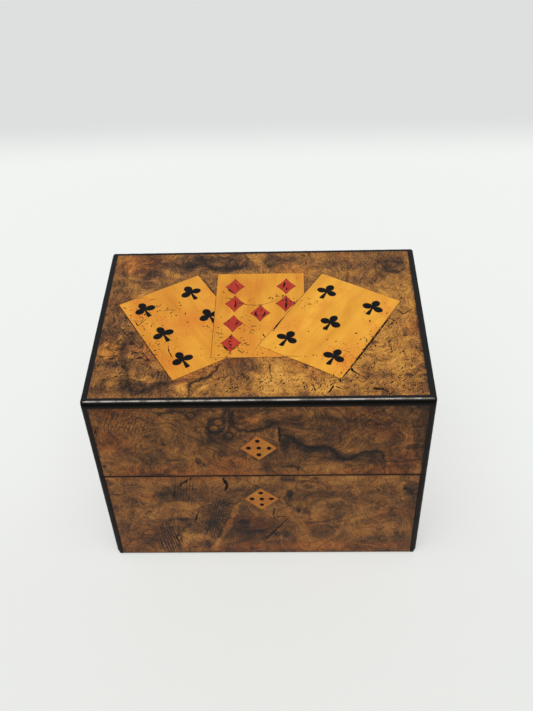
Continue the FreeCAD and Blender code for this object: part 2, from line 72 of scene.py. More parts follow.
MM = 0.001
TAU = 2 * math.pi
NODES = frame["nodes"]
BODY_OF = {node: body for body, nodes in frame["record"]["behaviour"]["bodies"].items() for node in nodes}
SLOT_OF = {row["node"]: row["material_slot"] for row in frame["record"]["subparts"]}
SKIN = 0.02        # polish stays this far under the solid's face
EDGE_DROP = 0.05   # how far a veneer's cut edge is eased
RIM = 0.4          # width of the eased edge
CRACK_DEPTH = 0.2  # of the widest cracks
HINGE_Y = 75.3     # the hinge axis
JOINT_Z = 95.25    # where the lid meets the base
JOINT_REACH = 5.0  # an end this near to the joint belongs to it
STOP_SLOPE = math.tan(math.radians(52))   # of the bevel behind the hinge axis
BEVEL_FADE = 12.0  # height over which a strip or veneer gives way to the bevel


def extent(node):
    """A CAD node's lowest and highest corner in millimetres."""
    low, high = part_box(node)
    return np.array(low) / MM, np.array(high) / MM


# ---------------------------------------------------------------- noise on arrays
def hashed(ix, iy, seed):
    """A repeatable pseudo-random angle for each lattice point."""
    n = (ix.astype(np.int64) * 374761393 + iy.astype(np.int64) * 668265263 + seed * 974634777) & 0xFFFFFFFF
    n = ((n ^ (n >> 13)) * 1274126177) & 0xFFFFFFFF
    return (n ^ (n >> 16)) / 0xFFFFFFFF * TAU


def noise(u, v, size, seed):
    """Gradient noise from about -1 to 1, with features of the given size."""
    x, y = u / size, v / size
    ix, iy = np.floor(x), np.floor(y)
    fx, fy = x - ix, y - iy
    sx, sy = (f * f * f * (f * (f * 6 - 15) + 10) for f in (fx, fy))
    corner = {}
    for a in (0, 1):
        for b in (0, 1):
            angle = hashed(ix + a, iy + b, seed)
            corner[a, b] = np.cos(angle) * (fx - a) + np.sin(angle) * (fy - b)
    low = corner[0, 0] + sx * (corner[1, 0] - corner[0, 0])
    high = corner[0, 1] + sx * (corner[1, 1] - corner[0, 1])
    return 1.5 * (low + sy * (high - low))


def layered(u, v, size, seed, octaves=4, gain=0.5):
    """Several octaves of noise, each half the size of the last."""
    total, weight = 0, 1.0
    for octave in range(octaves):
        total = total + weight * noise(u, v, size / 2 ** octave, seed + 17 * octave)
        weight *= gain
    return total


def smooth(low, high, value):
    t = np.clip((value - low) / (high - low), 0, 1)
    return t * t * (3 - 2 * t)


# ---------------------------------------------------------------- flat shapes
def inside(points, polygon):
    """Which points lie inside a polygon."""
    x, y = points[:, 0], points[:, 1]
    hit = np.zeros(len(points), bool)
    for (ax, ay), (bx, by) in zip(polygon, np.roll(polygon, -1, axis=0)):
        if ay == by:
            continue
        crosses = (ay > y) != (by > y)
        hit ^= crosses & (x < (bx - ax) * (y - ay) / (by - ay) + ax)
    return hit


def line_distance(u, v, points):
    """Distance from each (u, v) to a run of straight segments, and how far along it is nearest."""
    best, along = np.full(np.shape(u), 1e9), np.zeros(np.shape(u))
    run = 0.0
    for (ax, ay), (bx, by) in zip(points[:-1], points[1:]):
        dx, dy = bx - ax, by - ay
        length = math.hypot(dx, dy) or 1e-9
        t = np.clip(((u - ax) * dx + (v - ay) * dy) / length ** 2, 0, 1)
        distance = np.hypot(u - ax - t * dx, v - ay - t * dy)
        nearer = distance < best
        best = np.where(nearer, distance, best)
        along = np.where(nearer, run + t * length, along)
        run += length
    return best, along / run


def closed_run(polygon, step):
    """A closed outline with extra points so that no side is longer than step."""
    points = []
    for a, b in zip(polygon, np.roll(polygon, -1, axis=0)):
        count = max(1, int(np.ceil(np.hypot(*(b - a)) / step)))
        points += [a + (b - a) * k / count for k in range(count)]
    return np.array(points)


def rectangle(u0, u1, v0, v1):
    return np.array([(u0, v0), (u1, v0), (u1, v1), (u0, v1)], float)


def placed(points, centre, angle):
    """Points turned by an angle in degrees and moved."""
    a = math.radians(angle)
    turn = np.array([[math.cos(a), math.sin(a)], [-math.sin(a), math.cos(a)]])
    return np.asarray(points, float) @ turn + np.array(centre)


# ---------------------------------------------------------------- panels of veneer
# Each face of the box maps its own (u, v) and a depth below the surface to the row frame.
LOW, HIGH = (np.array(corner) / MM for corner in CAD_BOX)
FACES = {
    "top": lambda u, v, d: (u, v, HIGH[2] - d),
    "front": lambda u, v, d: (u, LOW[1] + d, v),
    "back": lambda u, v, d: (-u, HIGH[1] - d, v),
    "right": lambda u, v, d: (HIGH[0] - d, u, v),
    "left": lambda u, v, d: (LOW[0] + d, -u, v),
}


def cut_to_bevel(points, low, high, start):
    """Slopes the end at the joint, from start backwards, to the bevel on which the open lid leans."""
    drop = STOP_SLOPE * np.clip(points[:, 1] - start, 0, None)
    for end, way in ((low, 1), (high, -1)):
        if abs(end - JOINT_Z) < JOINT_REACH:
            points[:, 2] += way * drop * np.clip(1 - np.abs(points[:, 2] - end) / BEVEL_FADE, 0, 1)


def build_mesh(name, points, faces, slots, materials, node, fields=None):
    """A mesh object that rides on its node's body in the node's place; points in millimetres."""
    mesh = bpy.data.meshes.new(name)
    mesh.from_pydata((np.asarray(points) * MM).tolist(), [], faces)
    for material in materials:
        mesh.materials.append(material)
    mesh.polygons.foreach_set("material_index", np.asarray(slots, np.int32))
    mesh.polygons.foreach_set("use_smooth", np.full(len(faces), True))
    for word, values in (fields or {}).items():
        attribute = mesh.attributes.new(word, "FLOAT", "POINT")
        attribute.data.foreach_set("value", np.asarray(values, np.float32))
    mesh.validate()
    mesh.update()
    piece = bpy.data.objects.new(name, mesh)
    bpy.context.scene.collection.objects.link(piece)
    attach(piece, BODY_OF[node])
    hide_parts(node)
    return piece


def crack(points, width, seed, wobble=0.6, step=1.2):
    """A hairline: its middle points and their half widths, jittered, thin at both ends."""
    points = np.asarray(points, float)
    middle = []
    for a, b in zip(points[:-1], points[1:]):
        count = max(1, int(np.hypot(*(b - a)) / step))
        middle += [a + (b - a) * k / count for k in range(count)]
    middle = np.array(middle + [points[-1]])
    rng = np.random.default_rng(seed)
    jitter = rng.normal(0, wobble * 0.3, middle.shape)
    jitter[[0, -1]] = 0
    share = np.clip(np.linspace(0, 1, len(middle)), 0.04, 0.96)
    half = 0.75 * width * np.sin(np.pi * share) ** 0.5 * rng.uniform(0.6, 1.3, len(middle))
    return middle + jitter, half


def cracked(rows):
    """Cracks from rows of width, seed, wobble and the points along the middle."""
    return [crack(row[3:], *row[:3]) for row in rows]


def dashes(centre, spread, count, seed, angle, length=(1.0, 3.4), width=(0.4, 0.8)):
    """A patch of short fine cracks that lie more or less the same way."""
    rng = np.random.default_rng(seed)
    found = []
    for number in range(int(1.6 * count)):
        spot = np.array(centre) + rng.normal(0, 1, 2) * spread
        turn = math.radians(angle + rng.normal(0, 28))
        half = rng.uniform(*length) / 2 * np.array([math.cos(turn), math.sin(turn)])
        bend = rng.normal(0, 0.12, 2) * np.hypot(*half)
        path = [spot - half, spot + bend, spot + half]
        found.append(crack(path, rng.uniform(*width), seed + number, 0.1, 0.5))
    return found


def dashed(rows):
    """Dashes from rows of centre, spread, count, seed, angle, lengths and widths."""
    return [line for row in rows for line in dashes(*row)]


def near_rims(points, loops, reach):
    """Distance to the nearest outline, looked for only within reach of each outline's box."""
    best = np.full(len(points), 1e9)
    for loop in loops:
        low, high = loop.min(0) - reach, loop.max(0) + reach
        chosen = np.where(((points > low) & (points < high)).all(1))[0]
        if len(chosen):
            shut = np.vstack([loop, loop[:1]])
            best[chosen] = np.minimum(best[chosen], line_distance(*points[chosen].T, shut)[0])
    return best


def region_of(points, shapes):
    """The number of the uppermost shape that holds each point, or -1."""
    region = np.full(len(points), -1)
    for number in reversed(range(len(shapes))):
        loop = shapes[number][0]
        chosen = np.where(((points >= loop.min(0)) & (points <= loop.max(0))).all(1))[0]
        region[chosen[inside(points[chosen], loop)]] = number
    return region


class Cutting:
    """The points and lines along which one face is cut into triangles."""

    def __init__(self):
        self.points, self.edges, self.depths, self.dark = [], [], [], []

    def add(self, run, depth=0.0, dark=False):
        """Adds loose points and returns the first one's number."""
        first = len(self.points)
        self.points.extend(map(tuple, run))
        self.depths.extend(np.broadcast_to(depth, len(run)).tolist())
        self.dark.extend([dark] * len(run))
        return first

    def add_line(self, run, closed, depth=0.0, dark=False):
        first = self.add(run, depth, dark)
        last = first + len(run) - 1
        self.edges.extend((k, k + 1) for k in range(first, last))
        if closed:
            self.edges.append((last, first))

    def triangulate(self):
        """Flat points, triangles, and each point's depth and whether it lies in a crack."""
        found = delaunay_2d_cdt([Vector(p) for p in self.points], self.edges, [], 0, 1e-5, True)
        depth = [max((self.depths[k] for k in ids), default=0.0) for ids in found[3]]
        dark = [any(self.dark[k] for k in ids) for ids in found[3]]
        return (np.array([tuple(p) for p in found[0]]), np.array([tuple(f) for f in found[2]]),
                np.array(depth), np.array(dark))


def left_of(along):
    """Unit vectors square to the given directions."""
    return np.stack([-along[:, 1], along[:, 0]], 1) / (np.hypot(*along.T)[:, None] + 1e-9)


def add_cracks(cut, cracks, inner):
    """Adds the cracks that lie wholly inside; returns a tree of their points and their half widths."""
    tree, reach = KDTree(sum(len(middle) for middle, _ in cracks) or 1), []
    for middle, half in cracks:
        sides = left_of(np.gradient(middle, axis=0)) * half[:, None]
        ring = np.vstack([middle[:1], (middle + sides)[1:-1], middle[-1:], (middle - sides)[-2:0:-1]])
        if not inside(ring, inner).all():
            continue
        cut.add_line(ring, True)
        cut.add_line(middle[1:-1], False, np.minimum(half[1:-1] * 0.8, CRACK_DEPTH), True)
        for spot, h in zip(middle, half):
            tree.insert((*spot, 0), len(reach))
            reach.append(h)
    tree.balance()
    return tree, reach


def inner_points(loops, inner, spacing):
    """An uneven grid across a face, and points beside each outline that hold its eased edge."""
    (u0, v0), (u1, v1) = loops[-1].min(0), loops[-1].max(0)
    grid = np.array([(u, v) for r, v in enumerate(np.arange(v0, v1, spacing * 0.87))
                     for u in np.arange(u0 + (r % 2) * spacing / 2, u1, spacing)])
    grid += np.random.default_rng(len(loops)).uniform(-0.2, 0.2, grid.shape) * spacing
    grid = grid[inside(grid, inner)]
    grid = grid[near_rims(grid, loops, 2) > RIM + 0.25 * spacing]
    beside = []
    for loop in loops:
        run = closed_run(loop, spacing)
        across = left_of(np.roll(run, -1, axis=0) - np.roll(run, 1, axis=0)) * RIM
        beside += [run + across, run - across]
    beside = np.vstack(beside)
    beside = beside[inside(beside, inner)]
    return np.vstack([grid, beside[near_rims(beside, loops, 1) > RIM * 0.8]])


def marquetry(face, shapes, pieces, cracks=(), spacing=0.8):
    """Cuts one flat face of veneer into its pieces.

    shapes lists (outline, piece name) from the uppermost to the one that lies under all.
    pieces gives each piece's node, material and figure.
    """
    loops = [shape[0] for shape in shapes]
    field = loops[-1]
    inner = field - np.sign(field - (field.min(0) + field.max(0)) / 2) * 0.05
    cut = Cutting()
    for loop in loops:
        cut.add_line(closed_run(loop, spacing), True)
    tree, reach = add_cracks(cut, cracks, inner)
    grid = inner_points(loops, inner, spacing)
    if reach:
        nearest = [tree.find((*spot, 0)) for spot in grid]
        grid = grid[np.array([distance > reach[number] + 0.2 for _, number, distance in nearest])]
    cut.add(grid)

    flat, triangles, depth, dark = cut.triangulate()
    region = region_of(flat[triangles].mean(1), shapes)
    triangles, region = triangles[region >= 0], region[region >= 0]
    names = [shape[1] for shape in shapes]
    owner = np.array([names.index(names[k]) for k in region])
    lowest, highest = np.full(len(flat), len(shapes)), np.full(len(flat), -1)
    for column in range(3):
        np.minimum.at(lowest, triangles[:, column], owner)
        np.maximum.at(highest, triangles[:, column], owner)
    rim = (lowest != highest) | (near_rims(flat, [field], 1) < 1e-3)
    depth = np.maximum(depth, np.where(rim, EDGE_DROP, SKIN))
    for name, (node, material, figure) in pieces.items():
        chosen = triangles[owner == names.index(name)]
        slab(name, face, flat, chosen, depth, rim, dark, node, material, figure)


def slab(name, face, flat, triangles, depth, rim, dark, node, material, figure):
    """One piece of veneer: its face, its edges all round and its underside."""
    used = np.unique(triangles)
    renumber = np.full(len(flat), -1)
    renumber[used] = np.arange(len(used))
    flat, depth, rim, dark = flat[used], depth[used], rim[used], dark[used]
    triangles = renumber[triangles]
    directed = {(a, b) for t in triangles.tolist() for a, b in zip(t, (t[1], t[2], t[0]))}
    border = sorted((a, b) for a, b in directed if (b, a) not in directed)
    ring = sorted({k for edge in border for k in edge})
    place = {k: i for i, k in enumerate(ring)}
    base = delaunay_2d_cdt([Vector(flat[k]) for k in ring], [(place[a], place[b]) for a, b in border],
                           [], 1, 1e-6, True)
    under = []
    if len(base[0]) == len(ring):
        under = [tuple(len(flat) + base[3][k][0] for k in reversed(f)) for f in base[2]]
    walls = [(b, a, len(flat) + place[a], len(flat) + place[b]) for a, b in border]
    low, high = extent(node)
    thickness = min(high - low)
    u, v = np.vstack([flat, flat[ring]]).T
    fall = np.concatenate([depth, np.full(len(ring), thickness)])
    where = np.stack(np.broadcast_arrays(*FACES[face](u, v, fall)), 1)
    if face == "back":
        cut_to_bevel(where, v.min(), v.max(), HIGH[1] - thickness)
    faces = [*map(tuple, triangles.tolist()), *walls, *under]
    slots = np.concatenate([dark[triangles].any(1), np.zeros(len(walls) + len(under))])
    fields = {**figure(u, v), "rim": np.concatenate([rim, np.ones(len(ring))])}
    piece = build_mesh(f"{name}_face", where, faces, slots, [material, CRACK], node, fields)
    smooth_faces = np.arange(len(faces)) < len(triangles)
    piece.data.polygons.foreach_set("use_smooth", smooth_faces)


# ---------------------------------------------------------------- shader helper
class Nodes:
    """A node tree, written as expressions."""

    def __init__(self, tree):
        self.tree = tree

    def node(self, kind, props=None, **inputs):
        """A node whose inputs are named, or numbered after an underscore."""
        made = self.tree.nodes.new("ShaderNode" + kind)
        for word, value in (props or {}).items():
            setattr(made, word, value)
        for word, value in inputs.items():
            key = int(word[1:]) if word[0] == "_" else word.replace("_", " ")
            socket = made.inputs[key]
            if isinstance(value, bpy.types.NodeSocket):
                self.tree.links.new(value, socket)
            elif isinstance(value, (tuple, list)) and len(value) == 3 and socket.type == "RGBA":
                socket.default_value = (*value, 1)
            else:
                socket.default_value = value
        return made

    def math(self, operation, a, b=0.0, c=0.0):
        return self.node("Math", {"operation": operation}, _0=a, _1=b, _2=c).outputs[0]

    def plus(self, a, b):
        return self.math("ADD", a, b)

    def minus(self, a, b):
        return self.math("SUBTRACT", a, b)

    def times(self, a, b):
        return self.math("MULTIPLY", a, b)

    def larger(self, a, b):
        return self.math("MAXIMUM", a, b)

    def linear(self, a, factor, start):
        return self.math("MULTIPLY_ADD", a, factor, start)

    def seen(self):
        """1 for rays from the camera, off a mirror or through glass, and 0 for those that carry light."""
        path = self.node("LightPath")
        seen = self.larger(path.outputs["Is Camera Ray"], path.outputs["Is Glossy Ray"])
        return self.larger(seen, path.outputs["Is Transmission Ray"])


class Shader(Nodes):
    """A material's node tree; place is the object's own coordinates."""

    def __init__(self, name):
        self.material = bpy.data.materials.new(name)
        self.material.use_nodes = True
        super().__init__(self.material.node_tree)
        self.tree.nodes.clear()
        self.output = self.tree.nodes.new("ShaderNodeOutputMaterial")
        self.place = self.node("TexCoord").outputs["Object"]

    def varied(self, value, *parts):
        """A value moved up or down by each part's departure from one half, times the part's share."""
        for part, share in parts:
            value = self.plus(value, self.times(self.minus(part, 0.5), share))
        return value

    def attribute(self, word):
        return self.node("Attribute", {"attribute_name": word}).outputs["Fac"]

    def scaled(self, vector, size, offset=(0, 0, 0)):
        return self.node("Mapping", Vector=vector, Scale=size, Location=offset).outputs[0]

    def noise(self, vector, scale, detail=3.0, roughness=0.5, distortion=0.0):
        return self.node("TexNoise", Vector=vector, Scale=scale, Detail=detail, Roughness=roughness,
                         Distortion=distortion).outputs["Fac"]

    def clouds(self, size, detail=3.0, roughness=0.5, distortion=0.0):
        """Noise with features of about the given size in millimetres."""
        return self.noise(self.place, 1 / (size * MM), detail, roughness, distortion)

    def ramp(self, value, low, high, to_low=0.0, to_high=1.0):
        return self.node("MapRange", {"interpolation_type": "SMOOTHSTEP"}, _0=value, _1=low, _2=high,
                         _3=to_low, _4=to_high).outputs[0]

    def mix(self, share, a, b, blend="MIX"):
        made = self.node("Mix", {"data_type": "RGBA", "blend_type": blend}, _0=share, _6=a, _7=b)
        return made.outputs[2]

    def colours(self, value, stops):
        made = self.node("ValToRGB", Fac=value)
        ramp = made.color_ramp
        ramp.elements[0].position, ramp.elements[0].color = stops[0][0], (*stops[0][1], 1)
        ramp.elements[1].position, ramp.elements[1].color = stops[-1][0], (*stops[-1][1], 1)
        for position, colour in stops[1:-1]:
            ramp.elements.new(position).color = (*colour, 1)
        return made.outputs[0]

    def finish(self, colour, roughness, bump, bump_mm=0.05, **plain):
        """Joins the surface to the output; bump is the height field and bump_mm its depth."""
        normal = self.node("Bump", Height=bump, Distance=bump_mm * MM, Strength=1.0).outputs[0]
        made = self.node("BsdfPrincipled", Base_Color=colour, Roughness=roughness, Normal=normal, **plain)
        self.tree.links.new(made.outputs[0], self.output.inputs[0])
        return self.material


def srgb(r, g, b):
    """Linear colour from 0-255 display values."""
    return tuple((c / 255 / 12.92) if c <= 10 else ((c / 255 + 0.055) / 1.055) ** 2.4 for c in (r, g, b))


def darker(colour, share):
    return tuple(c * share for c in colour)


# ---------------------------------------------------------------- figure of the veneers
def loose_eyes(u, v, count, seed):
    """Small burr eyes scattered in clusters: dark rings and pale middles."""
    rng = np.random.default_rng(seed)
    ring, heart = np.zeros(len(u)), np.zeros(len(u))
    corner, size = np.array([u.min(), v.min()]), np.array([np.ptp(u), np.ptp(v)])
    middles = corner + rng.random((max(count // 9, 1), 2)) * size
    spots = middles[rng.integers(0, len(middles), count)] + rng.normal(0, 9, (count, 2))
    for (cu, cv), radius in zip(spots, rng.uniform(0.6, 1.4, count)):
        near = np.where((np.abs(u - cu) < 2.2 * radius) & (np.abs(v - cv) < 2.2 * radius))[0]
        d = np.hypot(u[near] - cu, (v[near] - cv) * rng.uniform(0.8, 1.3)) / radius
        ring[near] = np.maximum(ring[near], np.exp(-((d - 1) / 0.4) ** 2) * 0.35)
        heart[near] = np.maximum(heart[near], np.exp(-(d / 0.6) ** 2))
    return ring, heart


class Burr:
    """Figure of burr walnut at points (u, v): clouded tone, swirling grain, dark veins and warmth.

    line, seam, eye, feather, level, patch, warm and area draw given marks over it.
    """

    def __init__(self, u, v, seed, tone, eyes):
        self.u, self.v, self.seed = u, v, seed
        wu = u + 7 * layered(u, v, 34, seed, 3)
        wv = v + 7 * layered(u, v, 34, seed + 2, 3)
        cloud = layered(wu, wv, 48, seed + 5, 5, 0.55)
        blotch = layered(wu, wv, 13, seed + 6, 4, 0.6)
        knots = layered(wu, wv, 26, seed + 9, 3)
        ridge = 1 - np.abs(layered(wu, wv, 30, seed + 7, 3)) * 9
        patchy = smooth(0.1, 0.5, layered(u, v, 55, seed + 8, 2))
        ring, heart = loose_eyes(wu, wv, eyes, seed + 13)
        self.vein = np.clip(ridge, 0, 1) ** 2 * patchy * 0.8
        self.darken(ring * smooth(-0.2, 0.3, blotch + 0.3))
        self.grain = u + 26 * layered(u, v, 42, seed + 11, 3, 0.45)
        self.light = 0.55 * cloud + 0.35 * blotch - 0.35 * smooth(0.2, 0.7, knots) + tone + 0.25 * heart
        self.warmth = smooth(0.1, 0.8, layered(u, v, 60, seed + 12, 3))
        self.jag = 1.1 * noise(u, v, 3.2, seed + 20) + 0.5 * noise(u, v, 1.3, seed + 21)

    def darken(self, vein):
        self.vein = np.maximum(self.vein, vein)

    def line(self, path, width, strength):
        """A dark vein, widest in the middle of its length."""
        d, along = line_distance(self.u + self.jag, self.v + noise(self.u, self.v, 4, self.seed + 22), path)
        thin = width * (0.5 + 0.9 * np.sin(np.pi * np.clip(along, 0.05, 0.95)))
        self.darken(strength * np.exp(-(d / thin) ** 2))

    def seam(self, height, width, strength):
        """A straight dark line across the whole face."""
        self.darken(strength * np.exp(-((self.v - height) / width) ** 2))

    def eye(self, centre, radii, strength):
        """A dark ring with a paler middle."""
        ru, rv = np.broadcast_to(radii, 2)
        off = 0.15 * self.jag
        d = np.hypot((self.u - centre[0] + off) / ru, (self.v - centre[1] + off) / rv)
        self.vein = self.vein * smooth(0.5, 1.0, d)
        self.darken(strength * np.exp(-((d - 1) / 0.26) ** 2))
        self.light = self.light + 0.25 * strength * np.exp(-(d / 0.75) ** 4)
        self.grain = self.grain + 6 * ru * np.exp(-(d / 1.6) ** 2)

    def turned(self, centre, angle):
        """Distances from a centre, along an angle in degrees and across it."""
        c, s = math.cos(math.radians(angle)), math.sin(math.radians(angle))
        du, dv = self.u - centre[0], self.v - centre[1]
        return du * c + dv * s, dv * c - du * s

    def feather(self, centre, radii, angle, pitch, strength):
        """Broken dark stripes that fade towards the patch's edge."""
        along, across = self.turned(centre, angle)
        wave = across / pitch + 0.5 * noise(along * 0.7, across * 1.5, 14, self.seed + 24)
        wave = wave + 0.15 * noise(self.u, self.v, 3, self.seed + 25)
        broken = 0.8 * noise(along * 0.3, across, 2.0, self.seed + 26)
        stripe = np.clip(np.sin(TAU * wave) * 1.2 + broken, 0, 1) ** 2
        d = np.hypot(along / radii[0], across / radii[1]) + 0.25 * noise(self.u, self.v, 12, self.seed + 27)
        self.light = self.light - strength * (1 - smooth(0.4, 1.1, d)) * stripe

    def level(self, centre, radii, share, value):
        """Evens the tone out towards a value."""
        d = np.hypot((self.u - centre[0]) / radii[0], (self.v - centre[1]) / radii[1])
        share = share * (1 - smooth(0.6, 1.15, d + 0.3 * layered(self.u, self.v, 14, self.seed + 28, 2)))
        self.light = self.light + share * (value - self.light)
        self.vein = self.vein * (1 - 0.6 * share)

    def ragged(self, centre, radii, angle):
        """1 within an uneven oval, and 0 outside it."""
        along, across = self.turned(centre, angle)
        d = np.hypot(along / radii[0], across / radii[1])
        return 1 - smooth(0.55, 1.15, d + 0.35 * layered(self.u, self.v, 9, self.seed + 23, 3))

    def patch(self, centre, radii, angle, strength):
        """A paler or darker oval."""
        self.light = self.light + strength * self.ragged(centre, radii, angle)

    def warm(self, centre, radii, angle, strength):
        """A warmer or cooler oval."""
        self.warmth = np.clip(self.warmth + strength * self.ragged(centre, radii, angle), 0, 1)

    def area(self, outline, softness, strength):
        """A paler or darker area with an outline of its own."""
        outline = np.asarray(outline, float)
        held = inside(np.stack([self.u, self.v], 1), outline)
        d = line_distance(self.u, self.v, np.vstack([outline, outline[:1]]))[0]
        self.light = self.light + strength * np.where(held, smooth(0, softness, d), 0)


def burr(seed, marks, tone, eyes):
    """A figure of burr walnut with marks, each the name of one of Burr's methods and what it takes."""
    def figure(u, v):
        drawn = Burr(u, v, seed, tone, eyes)
        for kind, *mark in marks:
            getattr(drawn, kind)(*mark)
        return {"light": drawn.light, "vein": np.clip(drawn.vein, 0, 1), "warm": drawn.warmth,
                "grain": drawn.grain}
    return figure


def patches(*rows):
    """Marks from rows of u, v, half width, half height, strength and, where it is turned, angle."""
    return [("patch", row[:2], row[2:4], (*row, 0)[5], row[4]) for row in rows]


def card_figure(card, seed, tone, tint, warm_spots, pitted):
    """Figure of a pale card: streaks along it, with warm tints and patches of small pits."""
    centre, angle = CARD_PLACES[card]

    def figure(u, v):
        along, across = placed(np.stack([u, v], 1) - np.array(centre), (0, 0), -angle).T
        grain = along + 1.5 * layered(along * 1.5, across * 0.4, 16, seed, 3)
        light = tone + 0.5 * layered(along * 2.2, across * 0.6, 26, seed + 1, 4)
        warm = tint + 0.5 * smooth(0.0, 0.9, layered(u, v, 24, seed + 2, 4, 0.6))
        spots = np.zeros(len(u))
        for (cu, cv), radius, strength in warm_spots:
            warm = warm + strength * np.exp(-(np.hypot(u - cu, v - cv) / radius) ** 2)
        for (cu, cv), radius in pitted:
            spots = np.maximum(spots, np.exp(-(np.hypot(u - cu, v - cv) / radius) ** 2))
        return {"light": light, "vein": spots, "warm": np.clip(warm, 0, 1), "grain": grain}
    return figure


def plain_figure(seed, angle=90.0):
    """Figure of a small inlay."""
    def figure(u, v):
        a = math.radians(angle)
        grain = u * math.sin(a) - v * math.cos(a) + layered(u, v, 12, seed, 2)
        return {"light": 0.5 * layered(u, v, 9, seed + 1, 3), "vein": 0 * u,
                "warm": 0.5 + 0.5 * layered(u, v, 14, seed + 2, 2), "grain": grain}
    return figure


# ---------------------------------------------------------------- materials
def streaks(s, fine=0.95, along=0.10):
    """Coordinates that follow the figure's contours, for fibre noise."""
    x, y, z = s.node("SeparateXYZ", Vector=s.place).outputs
    grain = s.times(s.attribute("grain"), fine)
    combined = s.node("CombineXYZ", X=grain, Y=s.times(y, along / MM), Z=s.times(s.plus(x, z), along / MM))
    return combined.outputs[0]


def pits(s, place, size, amount, cluster):
    """Small dark pores where the cluster noise is high."""
    cells = s.node("TexVoronoi", {"feature": "F1"}, Vector=place, Scale=1 / (size * MM), Randomness=1.0)
    pick = s.node("SeparateColor", Color=cells.outputs["Color"])
    small = s.ramp(cells.outputs["Distance"], 0.12, 0.34, 1.0, 0.0)
    chosen = s.ramp(pick.outputs[0], 1 - amount, 1 - amount + 0.02)
    return s.times(s.times(small, chosen), cluster)


def crazing(s, size, warp):
    """Broken fine lines between irregular cells, in patches."""
    offset = s.node("TexNoise", Vector=s.place, Scale=1 / (size * MM), Detail=2.0).outputs["Color"]
    bent = s.node("VectorMath", {"operation": "MULTIPLY_ADD"}, _0=offset, _1=(warp * MM,) * 3, _2=s.place)
    cells = s.node("TexVoronoi", {"feature": "DISTANCE_TO_EDGE"}, Vector=bent.outputs[0],
                   Scale=1 / (size * MM))
    line = s.ramp(cells.outputs["Distance"], 0.015, 0.07, 1.0, 0.0)
    return s.times(line, s.ramp(s.clouds(5, 3, 0.6), 0.54, 0.62))


def strokes(s, angle, size, amount, cluster):
    """Short dark strokes that lie at an angle in degrees on the top and on the front alike."""
    a = math.radians(angle)
    x, y, z = s.node("SeparateXYZ", Vector=s.place).outputs
    rise = s.plus(y, z)
    along = s.plus(s.times(x, math.cos(a)), s.times(rise, math.sin(a)))
    across = s.minus(s.times(rise, math.cos(a)), s.times(x, math.sin(a)))
    turned = s.node("CombineXYZ", X=s.times(along, 0.3), Y=across, Z=s.minus(y, z))
    return pits(s, turned.outputs[0], size, amount, cluster)


def hairlines(s, thread):
    """Fine dark lines along the figure's contours, in patches."""
    contour = s.noise(s.scaled(thread, (0.45, 0.45, 0.45)), 1.0, 2, 0.55)
    hair = s.ramp(s.math("ABSOLUTE", s.minus(contour, 0.5)), 0.004, 0.032, 1.0, 0.0)
    return s.times(hair, s.ramp(s.clouds(6, 3, 0.6), 0.47, 0.6))


def burr_specks(s):
    """Pores, crazing and short strokes, each in its own patches."""
    cluster = s.ramp(s.clouds(17, 3, 0.6), 0.44, 0.62)
    speck = s.larger(pits(s, s.scaled(s.place, (1, 1, 0.6)), 1.9, 0.6, cluster),
                     pits(s, s.place, 1.0, 0.3, s.ramp(s.clouds(8, 2), 0.42, 0.58)))
    speck = s.larger(speck, s.times(crazing(s, 3.4, 1.6), 0.8))
    for number, (angle, size) in enumerate(((65, 1.25), (15, 1.1), (-50, 1.15))):
        patch = s.noise(s.scaled(s.place, (1, 1, 1), (number * 0.3, 0, 0)), 1 / (15 * MM), 3, 0.6)
        speck = s.larger(speck, strokes(s, angle, size, 0.35, s.ramp(patch, 0.5, 0.62)))
    return speck


def dark_rim(s, colour, uneven, share, rim_colour):
    """Dirt along a piece's cut edge, its inner side ragged."""
    rim = s.ramp(s.plus(s.attribute("rim"), s.times(uneven, 0.6)), 0.65, 1.1)
    return s.mix(s.times(rim, share), colour, rim_colour)


def make_burr(name, dark, mid, gold, pale, warm, grit, depth):
    """Burr walnut under old French polish."""
    s = Shader(name)
    thread = streaks(s)
    fibre = s.noise(thread, 1.0, 4, 0.62)
    band = s.noise(thread, 0.3, 2, 0.5)
    mottle = s.clouds(2.2, 4, 0.6, 0.4)
    curl = s.clouds(1.3, 2, 0.6, 1.5)
    grains = s.clouds(0.7, 2, 0.6)
    value = s.varied(s.linear(s.attribute("light"), 0.42, 0.48),
                     (fibre, 1.1), (band, 0.3), (mottle, 0.3), (curl, 0.5), (grains, grit))
    colour = s.colours(value, [(0.0, dark), (0.34, mid), (0.62, gold), (1.0, pale)])
    colour = s.mix(s.times(s.attribute("warm"), 0.55), colour, s.mix(0.7, colour, warm, "MULTIPLY"))
    colour = s.mix(s.times(hairlines(s, thread), 0.6), colour, darker(dark, 0.5))
    vein = s.times(s.attribute("vein"), s.ramp(mottle, 0.25, 0.6, 0.75, 1.0))
    colour = s.mix(vein, colour, darker(dark, 0.28))
    speck = burr_specks(s)
    colour = s.mix(s.times(speck, depth), colour, darker(dark, 0.25))
    colour = dark_rim(s, colour, mottle, 0.85, srgb(26, 17, 12))
    height = s.minus(s.plus(s.times(fibre, 0.35), s.times(curl, 0.25)), s.times(speck, 0.9))
    return s.finish(colour, s.linear(mottle, 0.16, 0.26), height, Coat_Weight=0.03, Coat_Roughness=0.08,
                    Specular_IOR_Level=0.13)


